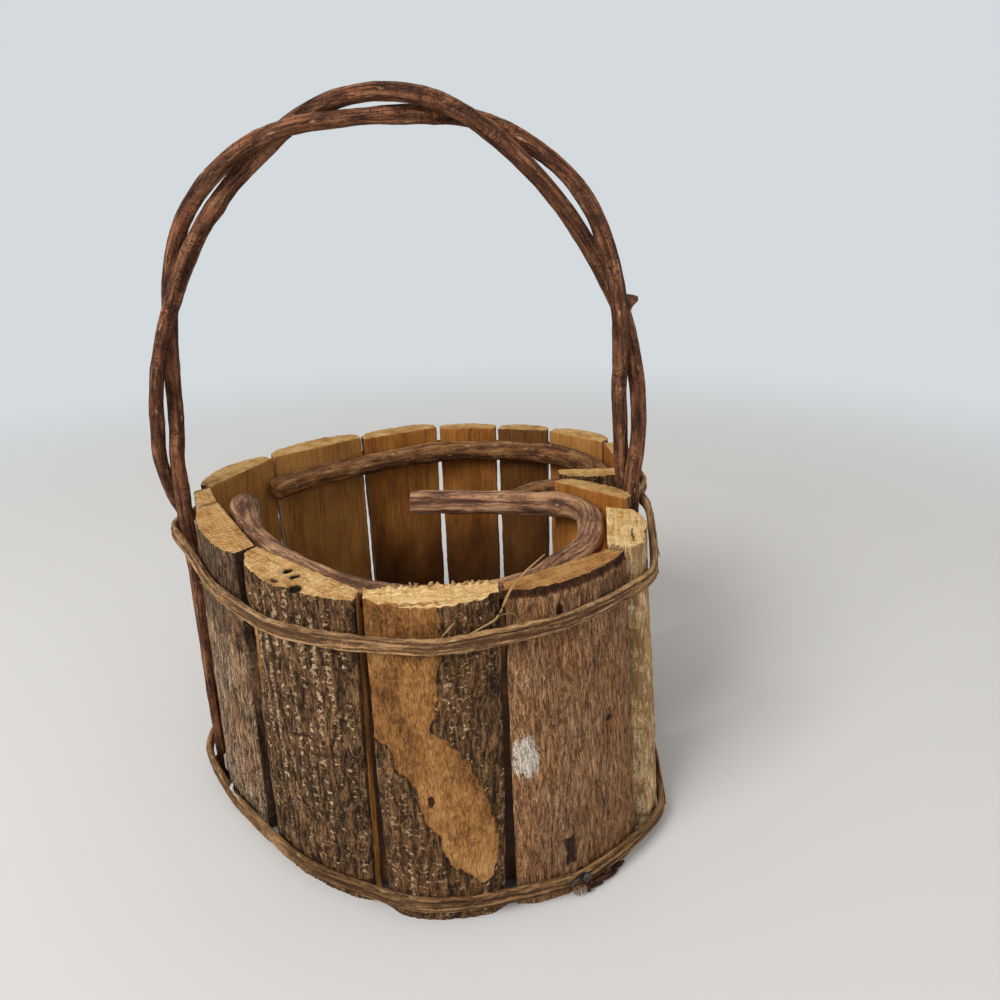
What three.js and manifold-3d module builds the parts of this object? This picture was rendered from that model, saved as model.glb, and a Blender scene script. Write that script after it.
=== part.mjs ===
// Heart-shaped basket: a ring of split bark staves round a heart-shaped base board, bound by two
// split-vine bands, lined under the rim by two bent twigs and carried by a handle of two twisted vines.
// Units are millimetres. +Z is up, +X runs from the blunt tip of the heart to its cleft, -Y is the front.

import * as THREE from 'three';
import { mergeVertices } from 'three/addons/utils/BufferGeometryUtils.js';
import Module from 'manifold-3d';

// Overall sizes
const rimHeight = 101.6;
const heartLength = 146;
const heartWidth = 147;
const clearance = 0.3;
const staveGap = 0.7;
const staveThickness = 9;

// Corners of the ring, on the inner faces, where one stave ends and the next begins. The list runs
// clockwise from the cleft: front flank of the cleft, front lobe, tip, back, back lobe, back flank.
// along and across are shares of the heart's length and width at the rim; lean is how far the corner
// lies from there at the foot, because the staves lean outwards.
const cleftFrontStart = { along: 0.315, across: 0.041, lean: [1, -1] };
const corners = [
  { along: 0.469, across: -0.092, lean: [4, -0.5] },
  { along: 0.392, across: -0.329, lean: [8.8, -5.2] },
  { along: 0.185, across: -0.469, lean: [1.5, -5.5] },
  { along: -0.058, across: -0.483, lean: [-1, -3] },
  { along: -0.298, across: -0.293, lean: [-2.5, -2.5] },
  { along: -0.455, across: -0.054, lean: [-4, -2] },
  { along: -0.503, across: 0.037, lean: [-3, 0] },
  { along: -0.414, across: 0.262, lean: [-2.5, 2.5] },
  { along: -0.202, across: 0.418, lean: [-1, 3.5] },
  { along: 0.007, across: 0.517, lean: [0, 4] },
  { along: 0.182, across: 0.507, lean: [1, 4] },
  { along: 0.332, across: 0.469, lean: [2.5, 4] },
  { along: 0.476, across: 0.340, lean: [3.5, 2.5] },
  { along: 0.497, across: 0.136, lean: [3.5, -1] },
];
const cleftBackEnd = { along: 0.329, across: 0.122, lean: [1, 0] };

// The thick stave beside the cleft stands a little further in than the corner that it shares.
const lobeStart = { along: 0.417, across: -0.135, lean: [4.8, -0.7] };

// Staves, in the order of the corners. top: height above or below the rim height; foot: height of the
// sawn foot; edge and crown: thickness at the two sides and at the swell of the bark, as shares of the
// stave thickness; crest: where the swell lies across the width, 1 is the middle; fall: how far the
// sawn top drops outwards; tilt: how far it drops from one side to the other; swell and phase: the
// bark's slow unevenness. Where a stave has them, laps tell how far its bark reaches past the two ends
// of its inner face, at the rim and at the foot, and widening how much wider it is at the foot.
const staves = [
  { name: 'stave_cleft_front', top: 0, foot: 1.5, edge: 0.44, crown: 1.00,
    crest: 1, fall: 0.6, tilt: 0.4, swell: 0.3, phase: 0.4 },
  { name: 'stave_front_5', top: 0.3, foot: 1.5, edge: 0.92, crown: 1.36,
    crest: 1, fall: 0.4, tilt: 0, swell: 0.4, phase: 1.7 },
  { name: 'stave_front_4', top: -0.6, foot: 0, edge: 0.44, crown: 0.96,
    crest: 1.1, fall: 0.8, tilt: 0.8, swell: 0.35, phase: 2.9,
    laps: { rim: [4.2, 2.2], foot: [2.1, 2.2] }, widening: 4.5 },
  { name: 'stave_front_3', top: 0.4, foot: 0, edge: 0.44, crown: 1.02,
    crest: 1.05, fall: 1.6, tilt: -0.4, swell: 0.5, phase: 4.1 },
  { name: 'stave_front_2', top: 0, foot: 1, edge: 0.47, crown: 1.09,
    crest: 1.25, fall: 1.2, tilt: 0.6, swell: 0.45, phase: 5.3,
    laps: { rim: [2.2, 0], foot: [0.7, 0] } },
  { name: 'stave_front_1', top: 0.2, foot: 0.6, edge: 0.67, crown: 1.16,
    crest: 1, fall: 1.2, tilt: 0.4, swell: 0.5, phase: 0.9 },
  { name: 'stave_tip', top: 0.6, foot: 0, edge: 0.56, crown: 0.69,
    crest: 1, fall: 0.4, tilt: 0.2, swell: 0.2, phase: 2.2 },
  { name: 'stave_back_1', top: 0.4, foot: 1, edge: 0.50, crown: 1.00,
    crest: 1, fall: -0.6, tilt: -0.5, swell: 0.4, phase: 3.4 },
  { name: 'stave_back_2', top: 0.6, foot: 0, edge: 0.50, crown: 1.02,
    crest: 0.95, fall: -0.5, tilt: 0.6, swell: 0.4, phase: 4.8 },
  { name: 'stave_back_3', top: 0.2, foot: 1.2, edge: 0.44, crown: 0.98,
    crest: 1, fall: -0.4, tilt: 0.4, swell: 0.35, phase: 0.2 },
  { name: 'stave_back_4', top: -0.2, foot: 0.8, edge: 0.47, crown: 0.89,
    crest: 1, fall: 0, tilt: 0, swell: 0.3, phase: 1.3 },
  { name: 'stave_back_5', top: -0.3, foot: 0, edge: 0.47, crown: 0.91,
    crest: 1, fall: 0, tilt: 0.3, swell: 0.3, phase: 2.6 },
  { name: 'stave_back_6', top: -0.2, foot: 1.4, edge: 0.50, crown: 0.96,
    crest: 1, fall: -0.3, tilt: 0.5, swell: 0.35, phase: 3.9 },
  { name: 'stave_back_lobe', top: 0, foot: 0.6, edge: 0.50, crown: 0.98,
    crest: 1, fall: 0.2, tilt: 0, swell: 0.35, phase: 5.1 },
  { name: 'stave_cleft_back', top: -0.4, foot: 1.8, edge: 0.44, crown: 0.93,
    crest: 1, fall: 0.3, tilt: 0.3, swell: 0.25, phase: 0.7 },
];
const staveColumns = 9;
const staveRows = 6;
const staveCrownSquareness = 0.6;
const worn = 0.8;
const topArris = 2.5;
const footArris = 2;

// Base board
const boardUnderside = 4;
const boardThickness = 9;
const boardInset = 1;
const cleftReach = 0.7;

// Handle: how far its middle line rises over the rim, and the stations along that line. Each station
// gives a place between the two legs and a share of the rise. The vines lie side by side at even
// stations, half a spread either side of the line, and pass over each other at odd ones. The twist ends
// just before the last station.
const vineDiameter = 5.7;
const vineSides = 9;
const vineSteps = 88;
const handleRise = 117.5;
const handlePlane = 0;
const handleStations = [
  { between: -0.003, up: 0.106 }, { between: 0.036, up: 0.435 }, { between: 0.133, up: 0.743 },
  { between: 0.307, up: 0.936 }, { between: 0.484, up: 0.997 }, { between: 0.666, up: 0.967 },
  { between: 0.85, up: 0.793 }, { between: 0.957, up: 0.523 }, { between: 0.989, up: 0.243 },
  { between: 0.993, up: -0.039 },
];
const lastTwist = 8.75;
const vineSpreads = [0.9, 0.92, 0.95, 1.08, 0.97, 0.97];
const vineAThickness = [
  [0, 0.78], [0.08, 0.84], [0.16, 0.9], [0.3, 0.92], [0.45, 0.9], [0.6, 0.95], [0.75, 0.96], [1, 0.94],
];
const vineBThickness = [
  [0, 0.5], [0.16, 0.68], [0.21, 0.88], [0.32, 0.9], [0.55, 0.84], [0.75, 0.94], [1, 0.94],
];

// How thick the leg beside the tip is where the bands pass it: shares of the vine's diameter, at the
// floor and at the rim
const legThickness = [0.6, 1.06];

// Twigs that line the wall, and the front one's free stub over the opening
const twigDiameter = 8;
const twigSides = 8;
const frontTwigSteps = 52;
const backTwigSteps = 56;
const frontTwigDrop = 5.6;
const backTwigDrop = 7.6;
const twigEase = 0.3;
const stubLength = 52.5;
const stubDrift = 5.8;
const stubBow = 1.4;

// Bands. The section of the split vine is in shares of its thickness and its height.
const bandThickness = 2.2;
const bandHeight = 4.3;
const bandClearance = 0.5;
const bandSteps = 92;
const bandSection = [
  [0.5, 0.28], [0.2, 0.5], [-0.3, 0.5], [-0.5, 0.3], [-0.5, -0.3], [-0.3, -0.5], [0.2, -0.5], [0.5, -0.28],
];
const upperBandDrop = 10.6;
const lowerBandHeight = 8;

// Band nails
const nailShank = 1.4;
const nailHead = 3;
const nailHeadThickness = 0.8;
const nailLength = 19;
const nailPoint = 2;
const nailSides = 8;

const materials = {
  bark: new THREE.MeshStandardMaterial({ color: 0x5b4636, roughness: 0.92, metalness: 0 }),
  greyBark: new THREE.MeshStandardMaterial({ color: 0x71614f, roughness: 0.93, metalness: 0 }),
  redBark: new THREE.MeshStandardMaterial({ color: 0x6d4a38, roughness: 0.9, metalness: 0 }),
  paleBark: new THREE.MeshStandardMaterial({ color: 0x9a8262, roughness: 0.9, metalness: 0 }),
  board: new THREE.MeshStandardMaterial({ color: 0xa97a42, roughness: 0.85, metalness: 0 }),
  vine: new THREE.MeshStandardMaterial({ color: 0x6b4535, roughness: 0.78, metalness: 0 }),
  twig: new THREE.MeshStandardMaterial({ color: 0x755448, roughness: 0.8, metalness: 0 }),
  band: new THREE.MeshStandardMaterial({ color: 0x7d5c3c, roughness: 0.88, metalness: 0 }),
  nail: new THREE.MeshStandardMaterial({ color: 0x2b2725, roughness: 0.55, metalness: 0.8 }),
};

const lerp = THREE.MathUtils.lerp;

// Makes one closed body from a run of rings with the same number of points, capped at both ends.
function loftRings(rings) {
  const sides = rings[0].length;
  const points = rings.flat();
  const faces = [];
  for (let row = 0; row + 1 < rings.length; row += 1) {
    for (let side = 0; side < sides; side += 1) {
      const here = row * sides + side;
      const next = row * sides + ((side + 1) % sides);
      faces.push([here, next, next + sides], [here, next + sides, here + sides]);
    }
  }
  const last = (rings.length - 1) * sides;
  for (const [start, flipped] of [[0, true], [last, false]]) {
    for (const [a, b, c] of capFaces(points.slice(start, start + sides))) {
      faces.push(flipped ? [start + c, start + b, start + a] : [start + a, start + b, start + c]);
    }
  }
  return bodyFrom(points, faces);
}

// Cuts an end ring into triangles, in the plane that it lies in best.
function capFaces(ring) {
  const normal = new THREE.Vector3();
  ring.forEach((point, index) => {
    normal.add(new THREE.Vector3().crossVectors(point, ring[(index + 1) % ring.length]));
  });
  normal.normalize();
  const across = new THREE.Vector3().subVectors(ring[1], ring[0]).normalize();
  const along = new THREE.Vector3().crossVectors(normal, across);
  const flat = ring.map((point) => new THREE.Vector2(point.dot(across), point.dot(along)));
  return THREE.ShapeUtils.triangulateShape(flat, []);
}

// Writes points and faces as a geometry whose faces point outwards.
function bodyFrom(points, faces) {
  let volume = 0;
  for (const [a, b, c] of faces) {
    volume += points[a].dot(new THREE.Vector3().crossVectors(points[b], points[c]));
  }
  const outward = volume > 0 ? faces : faces.map(([a, b, c]) => [a, c, b]);
  const geometry = new THREE.BufferGeometry().setFromPoints(points);
  geometry.setIndex(outward.flat());
  return geometry;
}

// Staves

// The chord of a stave's inner face at a height: its middle, its direction and its outward side.
function staveChord(index, height) {
  const from = [cleftFrontStart, lobeStart][index] ?? corners[index - 1];
  const to = index === corners.length ? cleftBackEnd : corners[index];
  const rise = height / rimHeight;
  const at = (corner, share) => new THREE.Vector2(
    corner.along * heartLength + corner.lean[0] * (1 - share),
    corner.across * heartWidth + corner.lean[1] * (1 - share),
  );
  const start = at(from, rise);
  const end = at(to, rise);
  const width = at(to, 1).distanceTo(at(from, 1)) - staveGap + (staves[index].widening ?? 0) * (1 - rise);
  const along = end.clone().sub(start).normalize();
  const out = new THREE.Vector2(-along.y, along.x);
  return { middle: start.add(end).multiplyScalar(0.5), along, out, width };
}

function placeOnChord(chord, across, outward, height) {
  const place = chord.middle.clone()
    .addScaledVector(chord.along, across)
    .addScaledVector(chord.out, outward);
  return new THREE.Vector3(place.x, place.y, height);
}

// Thickness of a stave at a share of its width and a height: thin sides, a swell of bark between them.
function barkThickness(stave, share, height) {
  const crownShape = Math.sin(Math.PI * share ** stave.crest) ** staveCrownSquareness;
  const uneven = Math.sin(share * 9 + stave.phase) * Math.cos(height * 0.06 + stave.phase * 2);
  const drift = Math.sin(height * 0.031 + stave.phase);
  const even = lerp(stave.edge, stave.crown, crownShape) * staveThickness;
  return even + stave.swell * (uneven + drift) * crownShape;
}

// The outside of a stave's bark at a height, from side to side.
function barkRow(index, height, wear = 0) {
  const stave = staves[index];
  const chord = staveChord(index, height);
  const half = chord.width / 2;
  const { rim, foot } = stave.laps ?? { rim: [0, 0], foot: [0, 0] };
  const [startLap, endLap] = rim.map((lap, side) => lerp(foot[side], lap, height / rimHeight));
  return Array.from({ length: staveColumns + 1 }, (unused, column) => {
    const share = column / staveColumns;
    const across = lerp(-half - startLap, half + endLap, share);
    return placeOnChord(chord, across, barkThickness(stave, share, height) - wear, height);
  });
}

function staveRing(index, height, wear, isTop) {
  const stave = staves[index];
  const chord = staveChord(index, height);
  const innerFace = [0.5, -0.5].map((share) => placeOnChord(chord, share * chord.width, 0, height));
  const ring = [...innerFace, ...barkRow(index, height, wear)];
  if (isTop) {
    const origin = new THREE.Vector3(chord.middle.x, chord.middle.y, height);
    for (const point of ring) {
      const offset = new THREE.Vector2(point.x - origin.x, point.y - origin.y);
      const fallen = stave.fall * offset.dot(chord.out) / staveThickness;
      point.z = height - fallen + stave.tilt * offset.dot(chord.along) / chord.width;
    }
  }
  return ring;
}

function staveGeometry(index) {
  const stave = staves[index];
  const top = rimHeight + stave.top;
  const rings = [staveRing(index, stave.foot, worn, false)];
  const low = stave.foot + footArris;
  const high = top - topArris;
  for (let row = 0; row <= staveRows; row += 1) {
    rings.push(staveRing(index, lerp(low, high, row / staveRows), 0, false));
  }
  rings.push(staveRing(index, top, worn, true));
  return loftRings(rings);
}

// A point beside a stave: a share of the width from its middle, a height and a way out from its inner face.
function onStave(name, across, height, outward) {
  const index = staves.findIndex((stave) => stave.name === name);
  const chord = staveChord(index, height);
  const bark = barkThickness(staves[index], THREE.MathUtils.clamp(across + 0.5, 0, 1), height);
  return placeOnChord(chord, across * chord.width, outward(bark), height);
}

// The middle of a vine that lies on the bark, or further out by the ease.
function besideBark(name, across, height, ease) {
  return onStave(name, across, height, (bark) => bark + vineDiameter / 2 + clearance + ease);
}

// The middle of a twig that lies along the inner face, or further in by the ease.
function besideWall(name, across, height, ease = 0) {
  return onStave(name, across, height, () => -twigDiameter / 2 - clearance - twigEase - ease);
}

// Base board: its edge follows the inner faces of the staves at the height of its top.
function boardGeometry() {
  const top = boardUnderside + boardThickness;
  const outline = [];
  staves.forEach((stave, index) => {
    const chord = staveChord(index, top);
    const half = chord.width / 2;
    const startReach = index <= 1 ? half + cleftReach : half - boardInset;
    const endReach = index === staves.length - 1 ? half + cleftReach : half - boardInset;
    for (const across of [-startReach, endReach]) {
      const point = placeOnChord(chord, across, -clearance, 0);
      outline.push(new THREE.Vector2(point.x, point.y));
    }
  });
  const geometry = new THREE.ExtrudeGeometry(new THREE.Shape(outline), {
    depth: boardThickness,
    bevelEnabled: false,
  });
  return geometry.translate(0, 0, boardUnderside);
}

// Vines and twigs: a route through chosen points, with a radius that swells at the knuckles.
function stemGeometry({ route, radius, sides, steps, profile = [[0, 1]], knuckles, ends, ridge = 0 }) {
  const curve = new THREE.CatmullRomCurve3(route, false, 'centripetal');
  const frames = curve.computeFrenetFrames(steps, false);
  const rings = [];
  for (let step = 0; step <= steps; step += 1) {
    const share = step / steps;
    const centre = curve.getPointAt(share);
    const grown = 1 + 0.02 * Math.sin(share * 41) + 0.015 * Math.sin(share * 93 + 1);
    let thickness = radius * valueAlong(profile, share) * grown;
    for (const knuckle of knuckles) {
      const away = (share - knuckle.at) / knuckle.reach;
      thickness += radius * knuckle.swell * Math.exp(-away * away);
    }
    const startTaper = ends.start ? Math.min(1, ends.start + share * ends.quick) : 1;
    const endTaper = ends.end ? Math.min(1, ends.end + (1 - share) * ends.quick) : 1;
    const ring = [];
    for (let side = 0; side < sides; side += 1) {
      const angle = (side / sides) * Math.PI * 2;
      const rib = 1 + ridge * Math.cos(angle * 3 + share * 6);
      const reach = thickness * startTaper * endTaper * rib;
      ring.push(centre.clone()
        .addScaledVector(frames.normals[step], Math.cos(angle) * reach)
        .addScaledVector(frames.binormals[step], Math.sin(angle) * reach));
    }
    rings.push(ring);
  }
  return loftRings(rings);
}

// Legs of the handle: vine B goes down outside the tip to its foot, vine A down inside the cleft. The
// other end of each vine is tucked in beside the leg under the rim.
const legB = [
  besideBark('stave_tip', -0.64, rimHeight * 0.04, 0.8),
  besideBark('stave_tip', -0.58, rimHeight * 0.12, 0.8),
  besideBark('stave_tip', -0.39, rimHeight * 0.33, 0.4),
  besideBark('stave_tip', -0.1, rimHeight * 0.59, -0.2),
  besideBark('stave_tip', 0.09, rimHeight * 0.81, 0.2),
  besideBark('stave_tip', 0.14, rimHeight * 0.92, 0.5),
  besideBark('stave_tip', 0.28, rimHeight, 0.2),
];
const tuckA = [
  besideBark('stave_tip', 0.63, rimHeight * 0.933, 1.6), besideBark('stave_tip', 0.63, rimHeight, 3.6),
];
const legA = [
  besideBark('stave_cleft_front', 0.33, rimHeight * 0.965, 0.6),
  besideBark('stave_cleft_front', 0.33, rimHeight * 0.866, 0.8),
  besideBark('stave_cleft_front', 0.33, rimHeight * 0.59, 1.8),
  besideBark('stave_cleft_front', 0.33, rimHeight * 0.295, 2.6),
  besideBark('stave_cleft_front', 0.34, rimHeight * 0.06, 2.6),
];
const tuckB = [
  besideBark('stave_cleft_front', 0.15, rimHeight * 0.945, 4.2),
  besideBark('stave_cleft_front', 0.17, rimHeight * 0.876, 5),
];

// The part of a vine that is twisted round the other. side is 1 for vine A, which starts on the
// outside, and -1 for vine B.
function twistedVine(side) {
  const from = legB[legB.length - 1].x - vineDiameter / 2;
  const to = legA[0].x;
  const line = new THREE.CatmullRomCurve3(handleStations.map(({ between, up }) => (
    new THREE.Vector3(lerp(from, to, between), handlePlane, rimHeight + up * handleRise)
  )), false, 'centripetal');
  const points = [];
  const perStation = 4;
  for (let step = 0; step <= lastTwist * perStation; step += 1) {
    const station = step / perStation;
    const share = station / (handleStations.length - 1);
    const tangent = line.getTangent(share);
    const outward = new THREE.Vector3(-tangent.z, 0, tangent.x);
    const lobe = Math.floor(station / 2);
    const spread = lerp(vineSpreads[lobe], vineSpreads[lobe + 1] ?? vineSpreads[lobe], station / 2 - lobe);
    const half = vineDiameter / 2 + clearance;
    const turn = station * Math.PI / 2;
    points.push(line.getPoint(share)
      .addScaledVector(outward, side * Math.cos(turn) * half * spread)
      .add(new THREE.Vector3(0, -side * Math.sin(turn) * half, 0)));
  }
  return points;
}

const vineARoute = [...tuckA, ...twistedVine(1), ...legA];
const vineBRoute = [...legB, ...twistedVine(-1), ...tuckB];

// Twigs: the front one has a cut stub over the opening, bends back by the cleft and lines the front
// wall to a thick end at the tip; the back one lines the back wall and returns along the cleft.
const frontTwigHeight = rimHeight - frontTwigDrop;
const backTwigHeight = rimHeight - backTwigDrop;

function stubPoints() {
  const root = besideWall('stave_cleft_front', -0.22, frontTwigHeight, 0.5);
  return [1, 0.63, 0.2, 0].map((out) => new THREE.Vector3(
    root.x - stubLength * out,
    root.y + stubDrift * out + 4 * stubBow * out * (1 - out),
    frontTwigHeight,
  ));
}

const frontTwigRoute = [
  ...stubPoints(),
  besideWall('stave_cleft_front', -0.03, frontTwigHeight, 0.2),
  besideWall('stave_cleft_front', 0.155, frontTwigHeight, 3),
  besideWall('stave_front_5', -0.49, frontTwigHeight, 0.4),
  besideWall('stave_front_5', -0.24, frontTwigHeight, 0.1),
  besideWall('stave_front_5', 0.03, frontTwigHeight - 0.4, 1.2),
  besideWall('stave_front_5', 0.26, frontTwigHeight - 0.8, 4),
  besideWall('stave_front_4', -0.24, frontTwigHeight - 1.4, 5.2),
  besideWall('stave_front_4', 0.15, frontTwigHeight - 2, 1.2),
  besideWall('stave_front_3', -0.2, frontTwigHeight - 1.6, 0.6),
  besideWall('stave_front_3', 0.25, frontTwigHeight - 0.6, 0.6),
  besideWall('stave_front_2', -0.2, frontTwigHeight),
  besideWall('stave_front_2', 0.25, frontTwigHeight),
  besideWall('stave_front_1', -0.2, frontTwigHeight, 0.6),
  besideWall('stave_front_1', 0.15, frontTwigHeight, 1.2),
  besideWall('stave_tip', -0.375, frontTwigHeight, 4.5),
  besideWall('stave_tip', 0.07, frontTwigHeight, 6.4),
];
const backTwigRoute = [
  besideWall('stave_back_1', 0.3, backTwigHeight - 2.4, 0.9),
  besideWall('stave_back_2', -0.3, backTwigHeight - 2.2, 1),
  besideWall('stave_back_2', 0.1, backTwigHeight - 1.9, 0.5),
  besideWall('stave_back_3', -0.3, backTwigHeight - 1.7, 1),
  besideWall('stave_back_3', 0.2, backTwigHeight - 1.5, 0.5),
  besideWall('stave_back_4', -0.1, backTwigHeight - 1.5, 0.4),
  besideWall('stave_back_5', 0, backTwigHeight - 1, 0.4),
  besideWall('stave_back_6', -0.1, backTwigHeight - 0.5, 0.6),
  besideWall('stave_back_lobe', -0.25, backTwigHeight, 2.4),
  besideWall('stave_back_lobe', 0.1, backTwigHeight, 1.5),
  besideWall('stave_cleft_back', -0.26, backTwigHeight - 0.5, 2.4),
  besideWall('stave_cleft_back', 0, backTwigHeight - 1),
  besideWall('stave_cleft_back', 0.45, backTwigHeight - 1.6, -0.4),
  besideWall('stave_cleft_back', 0.94, backTwigHeight - 2, -2.3),
  besideWall('stave_cleft_back', 1.26, backTwigHeight - 2.2, -6.2),
];

// Bands: each lies on the outermost bark, bridging the gaps as a tight strap does.
function barkPoints(height) {
  return staves.flatMap((stave, index) => barkRow(index, height).map((point) => point.setZ(0)));
}

// The outside of the handle's leg beside the tip at a height, seen from above, as a circle of points.
function legPoints(height) {
  const heights = legB.map((point) => point.z);
  const above = Math.max(1, heights.findIndex((z) => z >= height));
  const share = (height - heights[above - 1]) / (heights[above] - heights[above - 1]);
  const middle = legB[above - 1].clone().lerp(legB[above], share);
  const count = 12;
  return Array.from({ length: count }, (unused, index) => {
    const angle = (index / count) * Math.PI * 2;
    const radius = (vineDiameter / 2) * lerp(...legThickness, height / rimHeight);
    return new THREE.Vector3(middle.x + Math.cos(angle) * radius, middle.y + Math.sin(angle) * radius, 0);
  });
}

// The two ends of a band tuck into the cleft, one from each lobe.
function bandEnds(height, ease) {
  const flat = (point) => point.setZ(0);
  return {
    start: [
      onStave('stave_cleft_front', 0.34, height, () => 2 * staveThickness + ease),
      onStave('stave_cleft_front', 0.5, height, () => 1.55 * staveThickness + ease),
      onStave('stave_cleft_front', 0.65, height, () => 0.9 * staveThickness + ease),
    ].map(flat),
    finish: [
      onStave('stave_back_lobe', 0.34, height, (bark) => bark + bandThickness / 2 + bandClearance + 0.6),
      onStave('stave_back_lobe', 0.52, height, (bark) => bark + bandThickness + bandClearance),
      onStave('stave_back_lobe', 0.68, height, (bark) => bark - 0.1),
      onStave('stave_back_lobe', 0.8, height, () => 0.3),
    ].map(flat),
  };
}

function bandGeometry({ height, rises, ease, phase }) {
  const lowest = height + Math.min(...rises.map(([, rise]) => rise));
  const held = [...barkPoints(lowest), ...legPoints(lowest)];
  const reach = bandClearance + bandThickness / 2;
  const firstAngle = THREE.MathUtils.degToRad(-13);
  const lastAngle = THREE.MathUtils.degToRad(-347);
  const directions = 84;
  const leastStep = 2.5;
  const { start, finish } = bandEnds(height, ease);
  const route = [...start];
  for (let step = 0; step <= directions; step += 1) {
    const angle = lerp(firstAngle, lastAngle, step / directions);
    const out = new THREE.Vector3(Math.cos(angle), Math.sin(angle), 0);
    const touch = held.reduce((best, point) => (point.dot(out) > best.dot(out) ? point : best));
    const place = touch.clone().addScaledVector(out, reach);
    if (place.distanceTo(route[route.length - 1]) > leastStep) {
      route.push(place);
    }
  }
  route.push(...finish);
  const curve = new THREE.CatmullRomCurve3(route, false, 'centripetal');
  const rings = [];
  for (let step = 0; step <= bandSteps; step += 1) {
    const share = step / bandSteps;
    const centre = curve.getPointAt(share);
    const tangent = curve.getTangentAt(share);
    const out = new THREE.Vector3(-tangent.y, tangent.x, 0).normalize();
    centre.z = height + valueAlong(rises, share);
    const tall = bandHeight * (1 + 0.07 * Math.sin(share * 37 + phase) + 0.05 * Math.sin(share * 81 + phase));
    rings.push(bandSection.map(([outward, up]) => centre.clone()
      .addScaledVector(out, outward * bandThickness)
      .add(new THREE.Vector3(0, 0, up * tall))));
  }
  return loftRings(rings);
}

// A value at a share of a length, eased between the listed stations.
function valueAlong(stations, share) {
  const next = stations.findIndex(([at]) => at >= share);
  if (next <= 0) {
    return stations[0][1];
  }
  const [fromAt, fromValue] = stations[next - 1];
  const [toAt, toValue] = stations[next];
  return lerp(fromValue, toValue, THREE.MathUtils.smoothstep(share, fromAt, toAt));
}

// Nails: each pins the lower band through a stave into the edge of the base board.
const bandNails = [
  { stave: 'stave_front_4', across: 0.075, height: lowerBandHeight - 0.4 },
  { stave: 'stave_back_2', across: 0.02, height: lowerBandHeight },
  { stave: 'stave_back_5', across: 0, height: lowerBandHeight },
];

// A turned body whose axis lies along a stave's outward side, with zero under the nail's head.
function turnedAt(nail, profile) {
  const { out } = staveChord(staves.findIndex((stave) => stave.name === nail.stave), nail.height);
  const place = onStave(nail.stave, nail.across, nail.height, (bark) => (
    bark + bandClearance + bandThickness + 2 * clearance
  ));
  const geometry = new THREE.LatheGeometry(profile.map((point) => new THREE.Vector2(...point)), nailSides);
  const outward = new THREE.Vector3(out.x, out.y, 0);
  geometry.applyQuaternion(new THREE.Quaternion().setFromUnitVectors(new THREE.Vector3(0, 1, 0), outward));
  return geometry.translate(place.x, place.y, place.z);
}

function nailGeometry(nail) {
  return turnedAt(nail, [
    [0, -nailLength], [nailShank / 2, nailPoint - nailLength], [nailShank / 2, 0],
    [nailHead / 2, 0], [nailHead * 0.4, nailHeadThickness], [0, nailHeadThickness],
  ]);
}

function nailHoleGeometry(nail) {
  const radius = nailShank / 2 + clearance;
  const deep = -nailLength - clearance;
  return turnedAt(nail, [[0, deep], [radius, deep], [radius, bandThickness], [0, bandThickness]]);
}

const wasm = await Module();
wasm.setup();

function positionOnly(geometry) {
  const bare = geometry.clone();
  bare.deleteAttribute('normal');
  bare.deleteAttribute('uv');
  return mergeVertices(bare, 1e-4);
}

function solidFrom(geometry) {
  const bare = positionOnly(geometry);
  const indices = bare.index.array;
  const kept = [];
  for (let at = 0; at < indices.length; at += 3) {
    const [a, b, c] = indices.slice(at, at + 3);
    if (a !== b && b !== c && c !== a) {
      kept.push(a, b, c);
    }
  }
  return new wasm.Manifold(new wasm.Mesh({
    numProp: 3,
    vertProperties: new Float32Array(bare.attributes.position.array),
    triVerts: new Uint32Array(kept),
  }));
}

function geometryFrom(solid) {
  const mesh = solid.getMesh();
  const geometry = new THREE.BufferGeometry();
  geometry.setAttribute('position', new THREE.BufferAttribute(new Float32Array(mesh.vertProperties), 3));
  geometry.setIndex(new THREE.BufferAttribute(new Uint32Array(mesh.triVerts), 1));
  return geometry;
}

// Drills the hole of every nail that passes through a node.
function drilled(geometry, nails) {
  let solid = solidFrom(geometry);
  for (const nail of nails) {
    solid = solid.subtract(solidFrom(nailHoleGeometry(nail)));
  }
  return geometryFrom(solid);
}

const geometries = new Map();
staves.forEach((stave, index) => geometries.set(stave.name, staveGeometry(index)));
geometries.set('base_board', boardGeometry());
geometries.set('handle_vine_a', stemGeometry({
  route: vineARoute,
  radius: vineDiameter / 2,
  sides: vineSides,
  steps: vineSteps,
  profile: vineAThickness,
  knuckles: [{ at: 0.305, reach: 0.012, swell: 0.16 }],
  ends: { start: 0.8, end: 0.8, quick: 20 },
}));
geometries.set('handle_vine_b', stemGeometry({
  route: vineBRoute,
  radius: vineDiameter / 2,
  sides: vineSides,
  steps: vineSteps,
  profile: vineBThickness,
  knuckles: [{ at: 0.615, reach: 0.014, swell: 0.14 }],
  ends: { start: 0.9, end: 0.7, quick: 20 },
}));
geometries.set('inner_twig_front', stemGeometry({
  route: frontTwigRoute,
  radius: twigDiameter / 2,
  sides: twigSides,
  steps: frontTwigSteps,
  knuckles: [{ at: 1, reach: 0.07, swell: 0.45 }, { at: 0.2, reach: 0.02, swell: 0.08 }],
  ends: { end: 0.55, quick: 26 },
  ridge: 0.04,
}));
geometries.set('inner_twig_back', stemGeometry({
  route: backTwigRoute,
  radius: twigDiameter / 2,
  sides: twigSides,
  steps: backTwigSteps,
  knuckles: [{ at: 0.34, reach: 0.02, swell: 0.1 }, { at: 0.6, reach: 0.02, swell: 0.1 }],
  ends: { end: 0.6, quick: 4 },
  ridge: 0.04,
}));
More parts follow.
